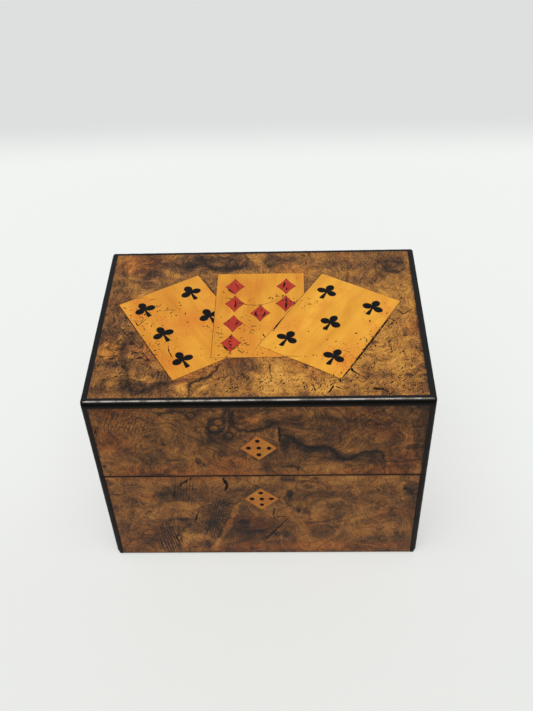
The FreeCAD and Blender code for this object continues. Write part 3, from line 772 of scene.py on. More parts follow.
def make_inlay(name, base, pale, warm, line, streak=0.6, pit_share=0.9, gloss=0.13):
    """A smooth pale or stained inlay with fine streaks."""
    s = Shader(name)
    fibre = s.noise(streaks(s, 1.0, 0.03), 1.0, 4, 0.6)
    fine = s.clouds(1.0, 3, 0.6)
    value = s.varied(s.linear(s.attribute("light"), 0.4, 0.5),
                     (fibre, streak), (fine, s.linear(s.attribute("warm"), 2.2, 0.15)))
    colour = s.colours(value, [(0.1, base), (0.9, pale)])
    colour = s.mix(s.times(s.attribute("warm"), 0.6), colour, warm)
    speck = pits(s, s.scaled(s.place, (1, 0.55, 1)), 1.7, 0.85, s.attribute("vein"))
    speck = s.larger(speck, pits(s, s.place, 2.6, 0.04, 1.0))
    colour = s.mix(s.times(speck, pit_share), colour, line)
    colour = dark_rim(s, colour, fine, 0.8, line)
    height = s.minus(s.times(fibre, 0.3), s.times(speck, 0.8))
    return s.finish(colour, s.linear(fine, 0.14, 0.24), height, 0.04, Coat_Weight=0.03 * gloss / 0.13,
                    Coat_Roughness=0.08, Specular_IOR_Level=gloss)


def make_crack():
    """Dirt and old polish in a crack."""
    s = Shader("crack_dirt")
    grit = s.clouds(0.8)
    colour = s.colours(grit, [(0.2, srgb(8, 6, 5)), (0.9, srgb(30, 18, 11))])
    return s.finish(colour, 0.6, grit, Specular_IOR_Level=0.1)


def make_edging():
    """Ebonised edging, polished: a painted sky reflection where it looks up, pale wear and a painted
    highlight along its arrises, painted shade under the front arris.
    """
    s = Shader("black_edging")
    cloudy = s.clouds(14, 4, 0.6)
    drift = s.clouds(8, 3, 0.6)
    fine = s.clouds(1.6, 3, 0.6)
    colour = s.colours(cloudy, [(0.25, srgb(24, 20, 18)), (0.75, srgb(38, 32, 29))])
    # Painted sky reflection: faces that look up turn lighter and greyer.
    colour = s.mix(s.times(s.attribute("painted_sky_reflection"), 0.8), colour, srgb(32, 32, 34))
    # Painted shade: near black just under the front top arris.
    colour = s.mix(s.times(s.attribute("painted_arris_shade"), 0.95), colour, srgb(2, 1, 1))
    # Pale wear on the upright corners and a painted highlight along the top arrises, strongest at the front.
    wear_and_highlight = s.linear(s.minus(cloudy, 0.5), 1.6, s.attribute("wear_and_highlight"))
    wear_and_highlight = s.ramp(s.linear(s.minus(fine, 0.5), 0.5, wear_and_highlight), 0.25, 0.7)
    wear_and_highlight = s.times(wear_and_highlight, s.ramp(s.attribute("wear_and_highlight"), 0.2, 0.75))
    # The pale colour of that wear and of the painted highlight.
    pale_wear_and_highlight_colour = s.mix(s.ramp(drift, 0.38, 0.62), srgb(128, 118, 110), srgb(190, 183, 175))
    colour = s.mix(s.times(wear_and_highlight, 0.9), colour, pale_wear_and_highlight_colour)
    return s.finish(colour, s.linear(fine, 0.16, 0.26), fine, 0.03, Specular_IOR_Level=0.06)


def make_wood(name, dark, light, axis, pore=0.5, rough=0.45):
    """Straight-grained solid wood; axis is the grain's direction."""
    s = Shader(name)
    stretch = [1.0, 1.0, 1.0]
    stretch[axis] = 0.045
    thread = s.scaled(s.place, tuple(stretch))
    broad = s.noise(thread, 1 / (16 * MM), 3, 0.5, 0.6)
    fibre = s.noise(thread, 1 / (1.3 * MM), 4, 0.65)
    pores = s.ramp(s.noise(thread, 1 / (0.55 * MM), 2, 0.5), 0.6, 0.7)
    value = s.plus(s.times(broad, 0.5), s.times(fibre, 0.5))
    colour = s.colours(value, [(0.3, dark), (0.72, light)])
    colour = s.mix(s.times(pores, pore), colour, darker(dark, 0.4))
    return s.finish(colour, s.linear(fibre, 0.2, rough - 0.1), s.minus(fibre, pores), Specular_IOR_Level=0.4)


def make_cloth(name, dark, light, pile, sheen_tint):
    """Velvet or baize: short pile in drifts, worn in places."""
    s = Shader(name)
    fluff = s.clouds(pile, 3, 0.7)
    value = s.plus(s.times(s.clouds(22, 3, 0.55, 0.8), 0.6), s.times(fluff, 0.4))
    colour = s.colours(value, [(0.3, dark), (0.7, light)])
    return s.finish(colour, s.linear(fluff, 0.2, 0.75), fluff, 0.25, Sheen_Weight=0.5,
                    Sheen_Roughness=0.4, Sheen_Tint=(*sheen_tint, 1), Specular_IOR_Level=0.2)


def make_brass(name, rough):
    """Aged brass, with tarnish in clouds and fine scratches."""
    s = Shader(name)
    tarnish = s.ramp(s.clouds(5, 4, 0.6), 0.42, 0.66)
    scratch = s.noise(s.scaled(s.place, (0.08, 1, 1)), 1 / (0.35 * MM), 2, 0.6)
    colour = s.mix(tarnish, srgb(206, 168, 92), srgb(120, 88, 48))
    level = s.plus(s.times(tarnish, 0.22), s.linear(scratch, 0.12, rough))
    return s.finish(colour, level, scratch, 0.02, Metallic=1.0)


# ---------------------------------------------------------------- the pieces
# The front copy, also used on the back and sides, is darker than the top's: partly painted shade on the
# upright faces.
BURR_TOP = make_burr("burr_walnut_top", srgb(42, 28, 20), srgb(116, 77, 45), srgb(178, 119, 52),
                     srgb(222, 161, 72), srgb(255, 176, 112), 1.15, 0.95)
BURR_FRONT = make_burr("burr_walnut_front", srgb(38, 22, 13), srgb(97, 61, 30), srgb(148, 94, 42),
                       srgb(188, 132, 66), srgb(255, 172, 98), 0.7, 0.75)
BOXWOOD = make_inlay("boxwood_card", srgb(194, 116, 28), srgb(250, 184, 64), srgb(214, 112, 40),
                     srgb(44, 25, 12), 0.35)
DIE_WOOD = make_inlay("die_wood", srgb(152, 88, 24), srgb(206, 136, 50), srgb(176, 92, 32),
                      srgb(30, 17, 10), 0.5)
RED = make_inlay("red_inlay", srgb(138, 34, 28), srgb(208, 66, 46), srgb(176, 50, 34), srgb(36, 14, 12), 0.9)
EBONY = make_inlay("ebony_inlay", srgb(6, 7, 9), srgb(22, 21, 21), srgb(18, 15, 13), srgb(6, 5, 5),
                   0.6, 0.9, 0.05)
CRACK = make_crack()

CARD_SIZE = (63.5, 88.9)
CARD_PLACES = {"left": ((-51.4, -4.2), 30.7), "middle": ((-0.4, 6.7), 0.0), "right": ((49.4, -4.2), -30.7)}
PIP_STEP = (18.2, 29.6)
# The pips that show on each card, in steps from its centre.
SIX = [(-1, 1), (1, 1), (-1, 0), (1, 0), (-1, -1)]
FIVE = [(-1, 1), (1, 1), (0, 0), (-1, -1), (1, -1)]
NINE = [(-1, 1), (-1, 1 / 3), (-1, -1 / 3), (-1, -1), (1, 1), (1, 1 / 3), (0, 0)]
# How far each pip was laid from its ruled place.
LAID = {
    "left": [(-0.1, 0.5), (0.0, 0.0), (0.5, 0.2), (0.0, 0.0), (0.8, 0.2)],
    "middle": [(-0.2, -0.1), (0.3, 0.8), (0.0, -0.6), (-0.7, -0.7), (0.5, -0.2), (0.1, 0.4), (0.5, 0.2)],
    "right": [(-1.1, -1.0), (-0.7, -0.5), (-0.2, 0.5), (0.5, 1.2), (0.4, 1.2)],
}


def union_outline(shapes, count=96):
    """The outer edge of overlapping shapes that all hold the origin, as seen from there."""
    outline = []
    for angle in np.linspace(0, TAU, count, endpoint=False):
        ray = np.array([math.cos(angle), math.sin(angle)])
        far = 0.0
        for shape in shapes:
            for a, b in zip(shape, np.roll(shape, -1, axis=0)):
                side = b - a
                cross = ray[0] * side[1] - ray[1] * side[0]
                if abs(cross) > 1e-12:
                    reach = (a[0] * side[1] - a[1] * side[0]) / cross
                    share = (a[0] * ray[1] - a[1] * ray[0]) / cross
                    if 0 <= share <= 1 and reach > far:
                        far = reach
        outline.append(ray * far)
    return np.array(outline)


def ellipse(centre, radii, angle, count=36):
    t = np.linspace(0, TAU, count, endpoint=False)
    return placed(np.stack([radii[0] * np.cos(t), radii[1] * np.sin(t)], 1), centre, angle)


def club(rng):
    """A club with three oval lobes and a stem that widens to its foot, cut a little unevenly."""
    lobes = [ellipse(placed([(0, 4.15)], (0, 0), turn)[0] * rng.uniform(0.96, 1.04),
                     (2.75 * rng.uniform(0.94, 1.05), 3.35 * rng.uniform(0.96, 1.04)), turn)
             for turn in (0, 98, -98)]
    middle = ellipse((0, 0), (1.5, 1.5), 0)
    stem = [(-0.7, 0.5), (-0.6, -4.8), (-1.9, -8.2), (-0.6, -9.0), (1.9, -8.3), (0.6, -4.8), (0.7, 0.5)]
    return union_outline([*lobes, middle, np.array(stem)])


def diamond():
    """A diamond whose sides curve in slightly."""
    corners = np.array([(7.0, 0), (0, 8.8), (-7.0, 0), (0, -8.8)])
    outline = []
    for a, b in zip(corners, np.roll(corners, -1, axis=0)):
        for t in np.linspace(0, 1, 8, endpoint=False):
            outline.append((a + (b - a) * t) * (1 - 0.09 * math.sin(math.pi * t)))
    return np.array(outline)


def on_card(card, shape, place):
    """A shape set out from a card's centre in steps between its pips."""
    centre, angle = CARD_PLACES[card]
    return placed(shape + np.array(place) * PIP_STEP, centre, angle)


def laid_pips(card, places, shapes):
    return [on_card(card, shape, place) + nudge for shape, place, nudge in zip(shapes, places, LAID[card])]


def card_box(card):
    w, h = CARD_SIZE
    centre, angle = CARD_PLACES[card]
    return placed(rectangle(-w / 2, w / 2, -h / 2, h / 2), centre, angle)


def diamond_cracks():
    """DIAMOND_CRACKS, each set out on its own laid diamond."""
    found = []
    for number, (place, nudge, rows) in enumerate(zip(NINE, LAID["middle"], DIAMOND_CRACKS)):
        for path, width in rows:
            path = on_card("middle", np.array(path), place) + nudge
            found.append(crack(path, width, 700 + number, 0.15))
    return found


# Cracks in the diamonds as points and a width, from each one's own middle, in the order of NINE.
DIAMOND_CRACKS = [
    [([(-6.2, -1.4), (-3.2, -4.8), (-0.8, -7.8)], 1.1), ([(-1, 4), (1.5, 1), (1.8, -3)], 0.61),
     ([(-1.4, -0.3), (0.4, 0.3)], 0.94)],
    [([(0, 5.4), (0.7, 1), (0.3, -5.6)], 0.88), ([(-3.6, -3.4), (-0.8, -7.2)], 0.61)],
    [([(2.4, 4), (3, 0.4), (1.2, -3.4)], 0.68), ([(-2.8, 1.2), (-1.0, 0.5)], 1.4),
     ([(-4.0, 1.8), (-2.4, 4.2)], 0.61)],
    [([(-6.0, -1.4), (-3, -5.0), (-0.8, -7.6)], 1.2), ([(1.0, -7.2), (3.4, -4.4), (5.8, -1.2)], 0.68),
     ([(-2.6, 2.2), (0.4, 1.2)], 0.94), ([(-1.8, -2.2), (1.6, -1.6)], 1.1),
     ([(0.2, 7.4), (-1.4, 5.0)], 0.94)],
    [([(-0.6, 5.5), (-1.6, 1), (-2.2, -2.5)], 1), ([(0.6, -1), (0.2, -5.5)], 0.68)],
    [([(0.6, 6.2), (0.4, 0), (0.3, -6.6)], 1.2), ([(3.0, 3.2), (5.4, 0.8)], 0.61)],
    [([(1.5, 4.5), (-0.2, 1.5)], 0.68), ([(-3, 2.6), (-3.4, -1.4), (-1, -4.2)], 0.88),
     ([(3.4, 1.8), (3, -1.4), (1.2, -4)], 0.94)],
]
# Cracks across the cards, as points and a width.
CARD_CRACKS = [
    ([(-88.9, 2.3), (-84.9, -5.0), (-80.8, 1.4), (-79.2, 4.0)], 0.55),
    ([(-69.0, 11.2), (-64, 11.5), (-59.6, 11.0)], 0.45), ([(-72.9, 14.6), (-70.6, 18.4)], 0.5),
    ([(-73.9, 11.3), (-69.8, 10.5)], 0.45), ([(-64.7, 7.7), (-60.8, 9.7)], 0.5),
    ([(-88.9, 24.6), (-83.6, 25.6)], 0.35), ([(-81.4, 22.3), (-75.2, 23.6)], 0.35),
    ([(-93.5, 11.0), (-91.0, 12.3)], 0.45), ([(-62.0, -24.5), (-61.0, -30.6), (-57.3, -38.5)], 0.5),
    ([(-67.0, -21.9), (-65.6, -23.2)], 0.5), ([(-37.2, -6.0), (-33.5, -8.6)], 0.45),
    ([(-25.2, 24.0), (-22.4, 23.3), (-19.9, 22.1)], 0.55), ([(-28.0, 30.9), (-25.9, 29.6)], 0.5),
    ([(-30.5, -12.4), (-27, -13.8), (-24.1, -14.8)], 0.5), ([(-7.0, -9.5), (-2.8, -11.8)], 0.5),
    ([(-15.0, -30.4), (-10.4, -33.2)], 0.6), ([(1.9, -14.2), (4.2, -18.7)], 0.5),
    ([(3.7, -12.0), (5.3, -10.9)], 0.6), ([(-22.5, -30.9), (-19.5, -31.5)], 0.5),
    ([(-27.9, -17.9), (-24.1, -17.4)], 0.5),
]
# Marks in the burr: each begins with the name of the Burr method that draws it.
TOP_MARKS = [
    ("area", [(-14.5, 75.5), (-5.5, 75.5), (9.5, 51.2), (3.5, 51.2)], 1.0, 0.55),
    ("line", [(-110, 76.0), (0, 76.2), (110, 76.0)], 1.0, 0.6),
    ("line", [(110.1, -74), (110.0, 0), (110.1, 76)], 1.1, 0.95),
    *patches((-104, -10, 11, 80, -0.42), (-92, -52, 14, 16, -0.2), (-96, 30, 12, 26, -0.2)),
    ("level", (62, 66), (52, 13), 0.7, -0.2), ("level", (100, 34), (12, 24), 0.5, -0.1),
    ("line", [(-46, 72), (-41, 62), (-36, 56), (-29, 54), (-23, 58), (-17, 57), (-12, 61), (-11, 68),
              (-13, 75)], 1.4, 0.75),
    ("line", [(-68, 66), (-60, 60), (-52, 60), (-46, 66)], 1.2, 0.6), ("eye", (-48, 66), 3.0, 0.3),
    ("eye", (-22, 65), 2.6, 0.3), ("eye", (97, 60), 4.0, 0.3), ("eye", (92, 53), 2.2, 0.3),
    ("line", [(88, 62), (93, 52), (100, 50), (106, 55)], 1.4, 0.8),
    ("line", [(-94.9, -8.7), (-93.1, -18), (-92.5, -27.1), (-92.8, -34.2), (-89.9, -42.1), (-87.3, -48.1),
              (-85.8, -54.9), (-83.3, -64.9), (-80, -74)], 1.4, 0.65),
    ("eye", (-95.6, -62.2), (6.6, 6.2), 0.4), ("eye", (-95.6, -62.2), (3.6, 3.4), 0.25),
    ("line", [(-25.6, -44.4), (-31.6, -54.8), (-37.9, -58.1), (-44.2, -61.5), (-44.6, -65.9),
              (-43.4, -71.5)], 1.3, 1.0),
    ("line", [(-79, -70), (-69.8, -66.1), (-63.9, -60.6), (-57.3, -61.3)], 2.0, 0.7),
    ("area", [(-107.8, -20.5), (-94.7, -22.5), (-92.7, -39.4), (-107.6, -38.3)], 3.0, 0.45),
    ("warm", (-93, 63), (20, 14), 0, 0.9), ("warm", (-101, -28), (10, 14), 0, 0.4),
    ("feather", (100, -66), (7, 9), 88, 1.5, 0.7), ("feather", (-72, -54), (5, 16), 82, 2.2, 0.6),
    *patches(
        (-95, 64, 17, 11, 0.15), (-66, 52, 12, 3.2, 0.6, -32), (-60, 60, 44, 14, -0.35),
        (-30, 62, 17, 10, -0.4), (-52, 64, 14, 8, -0.2, 20), (-32, 65, 7, 5, 0.45),
        (97, 57, 11, 9, -0.7, -20), (-20, 66, 60, 9, -0.35), (10, -64, 70, 12, 0.5),
        (88, -30, 20, 34, 0.35), (20, 66, 16, 6, -0.2, -20), (-88, -14, 8, 22, -0.3),
        (-88.7, -12.5, 1.8, 1.8, -1.0), (-87.5, -22.6, 2.4, 2.6, -1.0), (-83.9, -31.7, 2.6, 1.2, -1.0),
        (-74.4, -38.9, 2.4, 2.0, -1.0), (-89.5, -45.5, 1.6, 1.6, -1.0), (-105.5, -35.7, 1.8, 1.3, -1.0),
        (-99.1, -37.6, 1.8, 1.0, -1.0), (-80, -37, 3.4, 0.9, -1.0), (99.1, -17.5, 2.4, 1.5, -1.0),
        (98.2, -55.7, 3.0, 1.8, -1.0), (87.6, -27.9, 1.3, 1.5, -1.0), (77.8, -24.9, 3.0, 2.0, -1.0),
        (-88, -34, 8, 34, -0.2, 8), (-80, -66, 10, 7, -0.45), (-63.6, -63.4, 7, 5, -0.3),
        (-68, -57, 8, 4, 0.4), (-55, -66, 16, 7, 0.15), (-104, -52, 6, 16, 0.1), (30, -58, 40, 14, 0.4),
        (90, -20, 14, 40, 0.4), (95, 30, 12, 18, 0.3), (-20, -60, 14, 8, -0.25, 20), (78, 58, 8, 6, -0.2),
        (-104, 20, 6, 20, -0.25), (-95, 29, 6, 10, -0.4), (-37, 64, 12, 5, 0.35), (58, 60, 16, 8, -0.32),
        (95, 66, 14, 6, -0.25), (103, -3, 7, 9, 0.25), (-63, -44, 8, 6, 0.3), (-4, -46, 7, 6, -0.22),
        (91, -62, 15, 8, 0.32), (42, -67, 13, 4.5, 0.25), (-79, -55, 9, 6, 0.25), (-102, -28, 5, 11, 0.25),
        (98, 20, 7, 7, -0.25)),
]
LID_FRONT_MARKS = [
    ("seam", 95.3, 1.0, 1.3), ("line", [(-110.3, 94), (-110.3, 167)], 0.9, 1.0),
    ("line", [(110.2, 94), (110.2, 167)], 1.2, 1.0),
    ("line", [(13.0, 149.5), (13.5, 145), (13.7, 138), (13.8, 131)], 0.9, 0.95),
    ("line", [(16, 138), (19.3, 136.4), (24.3, 130.6), (29.3, 126.8), (36, 124.4), (42.7, 125.1),
              (47.7, 123.9), (50.2, 119.8), (52.7, 114.8), (56, 112.3), (61, 112.3), (65.2, 117.3),
              (69.3, 119.8), (76, 120.1), (80.2, 119.8), (83, 116.4), (83.5, 111.4)], 1.2, 1.2),
    ("line", [(83.5, 111.4), (86, 109.4), (96, 109.8), (109.5, 111.4)], 0.9, 0.9),
    ("line", [(-16.2, 161), (-16.6, 154), (-16.2, 146.5), (-12.4, 142.3), (-5.9, 141.7), (0.7, 143.6),
              (7.4, 147), (10.8, 150.4), (12.7, 150.3)], 1.5, 1.0),
    ("line", [(-20.2, 165), (-21.5, 160), (-22.4, 155.7), (-21.4, 150)], 1.3, 1.0),
    ("line", [(-18.4, 164), (-18.2, 156), (-18.6, 149), (-19.7, 142)], 1.9, 1.0),
    ("eye", (-26.3, 150.9), (3.2, 3.5), 0.9), ("eye", (-29.4, 145.0), (3.2, 3.3), 0.9),
    ("eye", (-43.5, 158.4), (3.0, 2.6), 1.0), ("eye", (-20.3, 137.4), (2.9, 3.9), 0.95),
    ("eye", (-14.0, 138.3), (2.1, 2.9), 0.7), ("eye", (-10.3, 139.8), (1.9, 2.5), 0.6),
    ("line", [(-24.7, 155.2), (-22.4, 150.3), (-23.5, 144.4), (-26.4, 140.5), (-29.8, 139.5),
              (-32.9, 142.1), (-33.7, 146.1), (-32.1, 151.4), (-28.6, 154.8), (-24.7, 155.2)], 1.0, 1.1),
    ("line", [(-67, 160.2), (-59.9, 160), (-53.3, 161.9), (-48.2, 160.8)], 1.3, 0.9),
    ("line", [(-57.6, 163.8), (-53, 164.2)], 1.0, 0.7),
    ("line", [(14.5, 104.8), (20, 105.3), (25.3, 105), (25.6, 101.5)], 1.1, 1.1),
    ("line", [(-109, 148), (-106, 147), (-108, 138)], 1.0, 0.7),
    ("line", [(-108, 134), (-104, 128)], 0.9, 0.6),
    ("area", [(8.6, 133), (11.2, 147.5), (12.7, 147.5), (12.9, 132), (11, 129)], 0.8, 0.5),
    ("warm", (-4, 152), (8, 6), 0, 0.7), ("warm", (0, 98), (110, 3), 0, 0.5),
    ("warm", (-84, 153), (17, 9), 0, -0.6), ("warm", (86, 113), (14, 10), 0, -0.4),
    ("feather", (-88, 149), (10, 24), 66, 2.2, 0.7), ("feather", (60, 140), (50, 16), 40, 4.0, 0.3),
    *patches(
        (0, 165, 130, 5, -0.3), (0, 99, 130, 8, 0.22), (107, 148, 7, 24, -0.55), (109, 115, 5, 20, -0.3),
        (20, 131, 9, 8, -0.7, -40), (40, 123, 15, 4.5, -0.6, -5), (56, 115, 10, 6, -0.6),
        (76, 117, 11, 5, -0.5), (60, 105, 20, 6, 0.35), (16.9, 126, 3, 12, -0.35), (-13, 154, 6, 8, -0.8),
        (-4, 161, 14, 3.5, -0.35), (9, 149, 6, 5, -0.5), (-5, 151.8, 7, 4.5, 0.7, 8),
        (4, 157.5, 6, 3.5, 0.3), (-33, 163.5, 16, 2.6, -0.5), (-43.5, 158.4, 6.4, 5, -0.4),
        (-28.2, 147.5, 7, 10, -0.45, -25), (-20.3, 137.4, 5, 6, -0.3), (-30, 134, 22, 5, -0.25, 10),
        (103, 124.6, 7, 3.4, -0.7, 5), (-107.6, 106.8, 1.7, 1.7, -1.3), (-42.4, 111.4, 2.6, 3.6, -1.0, 15),
        (-39, 107.5, 1.6, 2, -0.8), (-27, 120, 5, 4, -0.5), (-60, 112.5, 4, 0.9, -0.8),
        (-64, 129, 1.2, 1.0, -1.0), (70, 140, 44, 24, -0.35), (0, 104, 60, 6, -0.1),
        (-60, 122, 38, 12, 0.12), (-86, 150, 16, 7, 0.3), (40, 150, 34, 10, -0.12, -6),
        (60, 102, 46, 5, 0.12), (98, 145, 10, 14, 0.15), (-34, 160, 11, 4, -0.25), (-2, 146, 12, 5, -0.3),
        (79, 157, 10, 7, 0.38), (99, 107, 11, 12, -0.33), (-18, 104, 13, 9, -0.36), (-70, 106, 9, 7, 0.38),
        (-34, 98, 12, 4, -0.15), (30, 101, 22, 4, -0.2)),
]
# The two sides of the pale strip that runs down the drawer's front.
STRIP_LEFT = [(-22.8, 59), (-25.4, 47.9), (-29.5, 37.2), (-33.3, 25), (-37.7, 16.8), (-42.5, 7.1)]
STRIP_RIGHT = [(-16.6, 62.2), (-17.7, 52.9), (-20.8, 46.8), (-23.1, 36), (-28.1, 26.2), (-32.9, 16.7)]
DRAWER_MARKS = [
    ("seam", 95.2, 0.8, 1.3), ("line", [(-112, 1.6), (0, 1.9), (112, 1.6)], 0.9, 0.6),
    ("line", [(-110.4, 2), (-110.3, 96)], 0.9, 1.0), ("line", [(110.3, 2), (110.3, 96)], 0.9, 0.9),
    ("line", STRIP_LEFT, 0.55, 0.7), ("line", [(8.2, 57), (6.5, 48.2)], 0.9, 0.8),
    ("line", [(-81, 54), (-77.7, 61.1), (-70.7, 65.6), (-58.4, 68.5), (-48.2, 66.7), (-45, 62.1)], 0.8,
              0.4),
    ("line", [(-63.9, 20), (-62.8, 27), (-58.8, 35.2), (-53.3, 38), (-46.5, 35)], 0.9, 0.6),
    ("eye", (-64.8, 21.3), (1.9, 4.2), 0.9), ("line", [(-64.2, 40), (-63.7, 33), (-64.4, 26)], 0.9, 0.8),
    ("line", [(-65, 16.5), (-66, 5)], 1.0, 0.8), ("eye", (41, 60), 7.0, 0.3), ("eye", (44, 50), 3.6, 0.3),
    ("eye", (28, 83), 4.5, 0.3), ("eye", (67, 8), 3.2, 0.3), ("eye", (25.7, 52), (4.6, 6.4), 0.35),
    ("line", [(52, 38), (66, 47), (80, 54), (96, 57)], 1.2, 0.4),
    ("line", [(30, 72), (32, 56), (34, 42)], 1.2, 0.5),
    ("line", [(17.5, 80), (20, 72), (18, 64), (20, 58)], 1.1, 0.7),
    ("line", [(100, 82), (105, 76), (109, 80)], 1.4, 0.8),
    ("area", [(-13.4, 68.8), *STRIP_RIGHT, (-35.6, 7.1), (-37, 3), (-44.5, 3), *STRIP_LEFT[::-1],
              (-18.5, 64.4)], 1.2, 0.62),
    ("area", [*STRIP_RIGHT[::-1], (-0.2, 56), (5.8, 47.6), (18.4, 47.2), (2.3, 21.2), (-0.5, 17.4),
              (-14.3, 16.6)], 0.8, -0.22),
    ("area", [(-64.3, 8.8), (-62.4, 26.3), (-58.5, 34.1), (-53.3, 36.6), (-47, 33.3), (-45.3, 23.3),
              (-46.5, 8.6)], 3.0, 0.28),
    ("warm", (-10, 36), (16, 16), 0, 0.4), ("warm", (30, 9), (95, 8), 0, 0.8),
    ("warm", (-60, 92), (50, 3), 0, 0.5), ("feather", (-72, 20), (22, 11), 98, 2.2, 2.9),
    ("feather", (-35.5, 44), (40, 8.5), 78, 2.0, 1.3), ("feather", (-55, 80), (16, 12), 80, 2.2, 0.8),
    ("feather", (-53, 20), (12, 8), 88, 1.9, 0.6), ("feather", (-98, 70), (9, 15), 10, 2.6, 0.6),
    *patches(
        (0, 90, 130, 9, 0.35), (-15.1, 41.1, 4.6, 3.4, -1.0), (-5.2, 29.5, 4.6, 2.8, -1.0),
        (-12.7, 28.4, 2.4, 1.8, -1.0), (-13.5, 34.2, 1.8, 1.4, -1.0), (-10.6, 6.9, 1.4, 1.5, -1.0),
        (19.4, 73.6, 3.2, 5.4, -1.0), (25.7, 54.6, 1.7, 2.6, -1.0), (-82.6, 54.4, 1.7, 2.3, -1.0),
        (-26.9, 63.2, 5.5, 4.6, -0.55), (-36.5, 41.6, 6.4, 6.4, -0.45), (-56.7, 44.6, 6, 2.6, -0.6),
        (13.3, 25.8, 8, 5, -0.6, 20), (-8, 37, 4, 2, 0.25, 20), (-1, 50, 14, 4, 0.3), (18, 92, 6, 4, -0.9),
        (26, 92, 6, 3, 0.4, -15), (-60, 61.5, 17, 5, 0.5, 3), (-64.8, 21.3, 1.0, 2.2, 1.0),
        (72, 48, 30, 5, 0.5, 25), (70, 84, 34, 9, 0.25), (40, 60, 12, 10, 0.35), (36, 56, 7, 5, 0.4),
        (48, 66, 9, 4, 0.4, 15), (37, 40, 9, 1.6, -0.5, 5), (84, 30, 22, 8, 0.3, 10),
        (-82, 52, 24, 8, 0.35, -5), (-84, 8, 8, 10, 0.3), (46, 73, 14, 5, -0.3), (104, 80, 6, 8, -0.7),
        (-75, 24, 13, 22, -0.2, 10), (-104, 30, 6, 14, -0.4), (-100, 12, 8, 8, 0.1), (40, 10, 76, 5, 0.35),
        (-90, 66, 22, 12, 0.1), (-72, 72, 6, 5, -0.35), (-52, 66, 12, 8, 0.32), (32, 83, 8, 6, 0.3),
        (56, 38, 14, 7, -0.32), (-50, 14, 11, 8, -0.5), (99, 17, 12, 10, -0.25), (70, 10, 16, 6, -0.22),
        (-52, 29, 7, 6, -0.3)),
]
# Rows of width, seed, wobble and the points along the middle.
TOP_LINES = [
    (1.0, 1, 0.3, (92.8, 4.9), (84, -9.8), (72, -29.8), (63, -44.8), (54.2, -59.2)),
    (0.8, 2, 0.2, (8.8, -13), (13, -4), (18, 5)),
    (1.4, 3, 0.2, (60.3, -47.6), (62.1, -51.7), (65.6, -54.6), (66.4, -56.6)),
    (1.1, 4, 0.2, (54.1, -57.9), (53.2, -59.6), (54.3, -62.4)),
    (0.9, 14, 0.2, (48.9, -63.1), (48.3, -66.2), (44.7, -71.7)),
    (0.5, 15, 0.12, (-101.4, 17.2), (-79, -20.4), (-56.5, -58.2)),
    (0.6, 5, 0.2, (95.7, 9.9), (99.7, 3.8), (107.7, 9.7)),
    (0.55, 6, 0.1, (91.2, 4), (89.9, -0.5), (93.6, -2.8), (89.8, -7.1), (85.4, -7.8)),
    (0.32, 7, 0.1, (-23, 23.6), (-18, 19), (-10, 16.2), (-2, 15.2), (6, 17.5), (13.5, 22.3)),
    (0.5, 8, 0.15, (-31.9, 25), (-40, 41), (-46.6, 49.4)),
    (0.3, 9, 0.6, (8.3, -39), (20, -37.2), (30, -37)),
    (0.5, 10, 0.15, (21.3, -38.9), (38, -48.9), (53, -58)),
    (0.4, 11, 0.6, (7.6, -61), (8.5, -56), (7.2, -50)),
    (1.6, 12, 0.2, (73.5, -67.3), (79.5, -68.3), (84, -70.8)),
    (0.5, 13, 0.6, (88, -27), (89, -33), (88, -36)),
]
SHORT_WIDTH = 0.55
SHORT_LINES = [
    [(35.2, -61.8), (36.2, -66.0), (37.2, -70.3)], [(41.1, -62.5), (39.9, -67.0)],
    [(49.7, -65.1), (54.0, -67.6)], [(46.4, -57.2), (50.1, -57.0), (53.3, -58.0)],
    [(7.2, -43.8), (7.9, -50.8)], [(69.3, -33.2), (72.4, -37.5)], [(29.5, -45.9), (29.9, -49.4)],
    [(31.2, -45.9), (31.9, -50.0)], [(3.8, -61.1), (6.9, -62.5)],
]
# Rows of centre, spread, count, seed, angle, lengths and widths.
TOP_DASHES = [
    ((-84, 2), (8, 6), 24, 100, 110, (0.8, 3.0), (0.25, 0.5)),
    ((-66, -22), (7, 6), 20, 120, 100, (0.6, 2.4), (0.25, 0.5)),
    ((-12, -28), (13, 8), 34, 140, 20, (0.6, 3.0), (0.25, 0.55)),
    ((30, 17), (7, 4), 20, 160, 10, (0.5, 2.0), (0.25, 0.5)), ((14, 22), (5, 3), 9, 180, 60),
    ((54, -35), (8, 7), 34, 200, 60, (0.6, 1.5), (0.4, 0.65)),
    ((-12, -6), (6, 6), 14, 220, 40, (0.6, 2.6), (0.25, 0.5)),
    ((72, -30), (5, 14), 20, 240, 62, (0.8, 2.8), (0.4, 0.7)),
    ((93, -28), (8, 22), 40, 260, 95, (0.6, 2.4), (0.4, 0.7)),
    ((40, -64), (22, 5), 30, 280, 70, (1.3, 3.8), (0.32, 0.55)),
    ((-12, -60), (18, 7), 28, 300, 60, (1.3, 3.8), (0.32, 0.55)),
    ((101, -58), (6, 10), 22, 320, 80, (0.6, 2.8), (0.4, 0.7)),
    ((-100, -20), (6, 26), 34, 340, 30, (0.8, 3.0), (0.4, 0.8)),
    ((-80, -36), (10, 12), 36, 345, 25, (0.8, 3.2), (0.4, 0.8)),
    ((86, -62), (9, 6), 14, 350, 20, (1.2, 3.6), (0.4, 0.8)), ((-60, 8), (8, 6), 7, 360, 100),
    ((10, 62), (60, 7), 16, 380, 60, (0.6, 1.6), (0.35, 0.6)),
]
LID_LINES = [
    (0.6, 21, 0.2, (12.8, 147.8), (13.3, 139), (13.6, 130)), (0.7, 22, 0.6, (-107, 145), (-109, 141)),
]
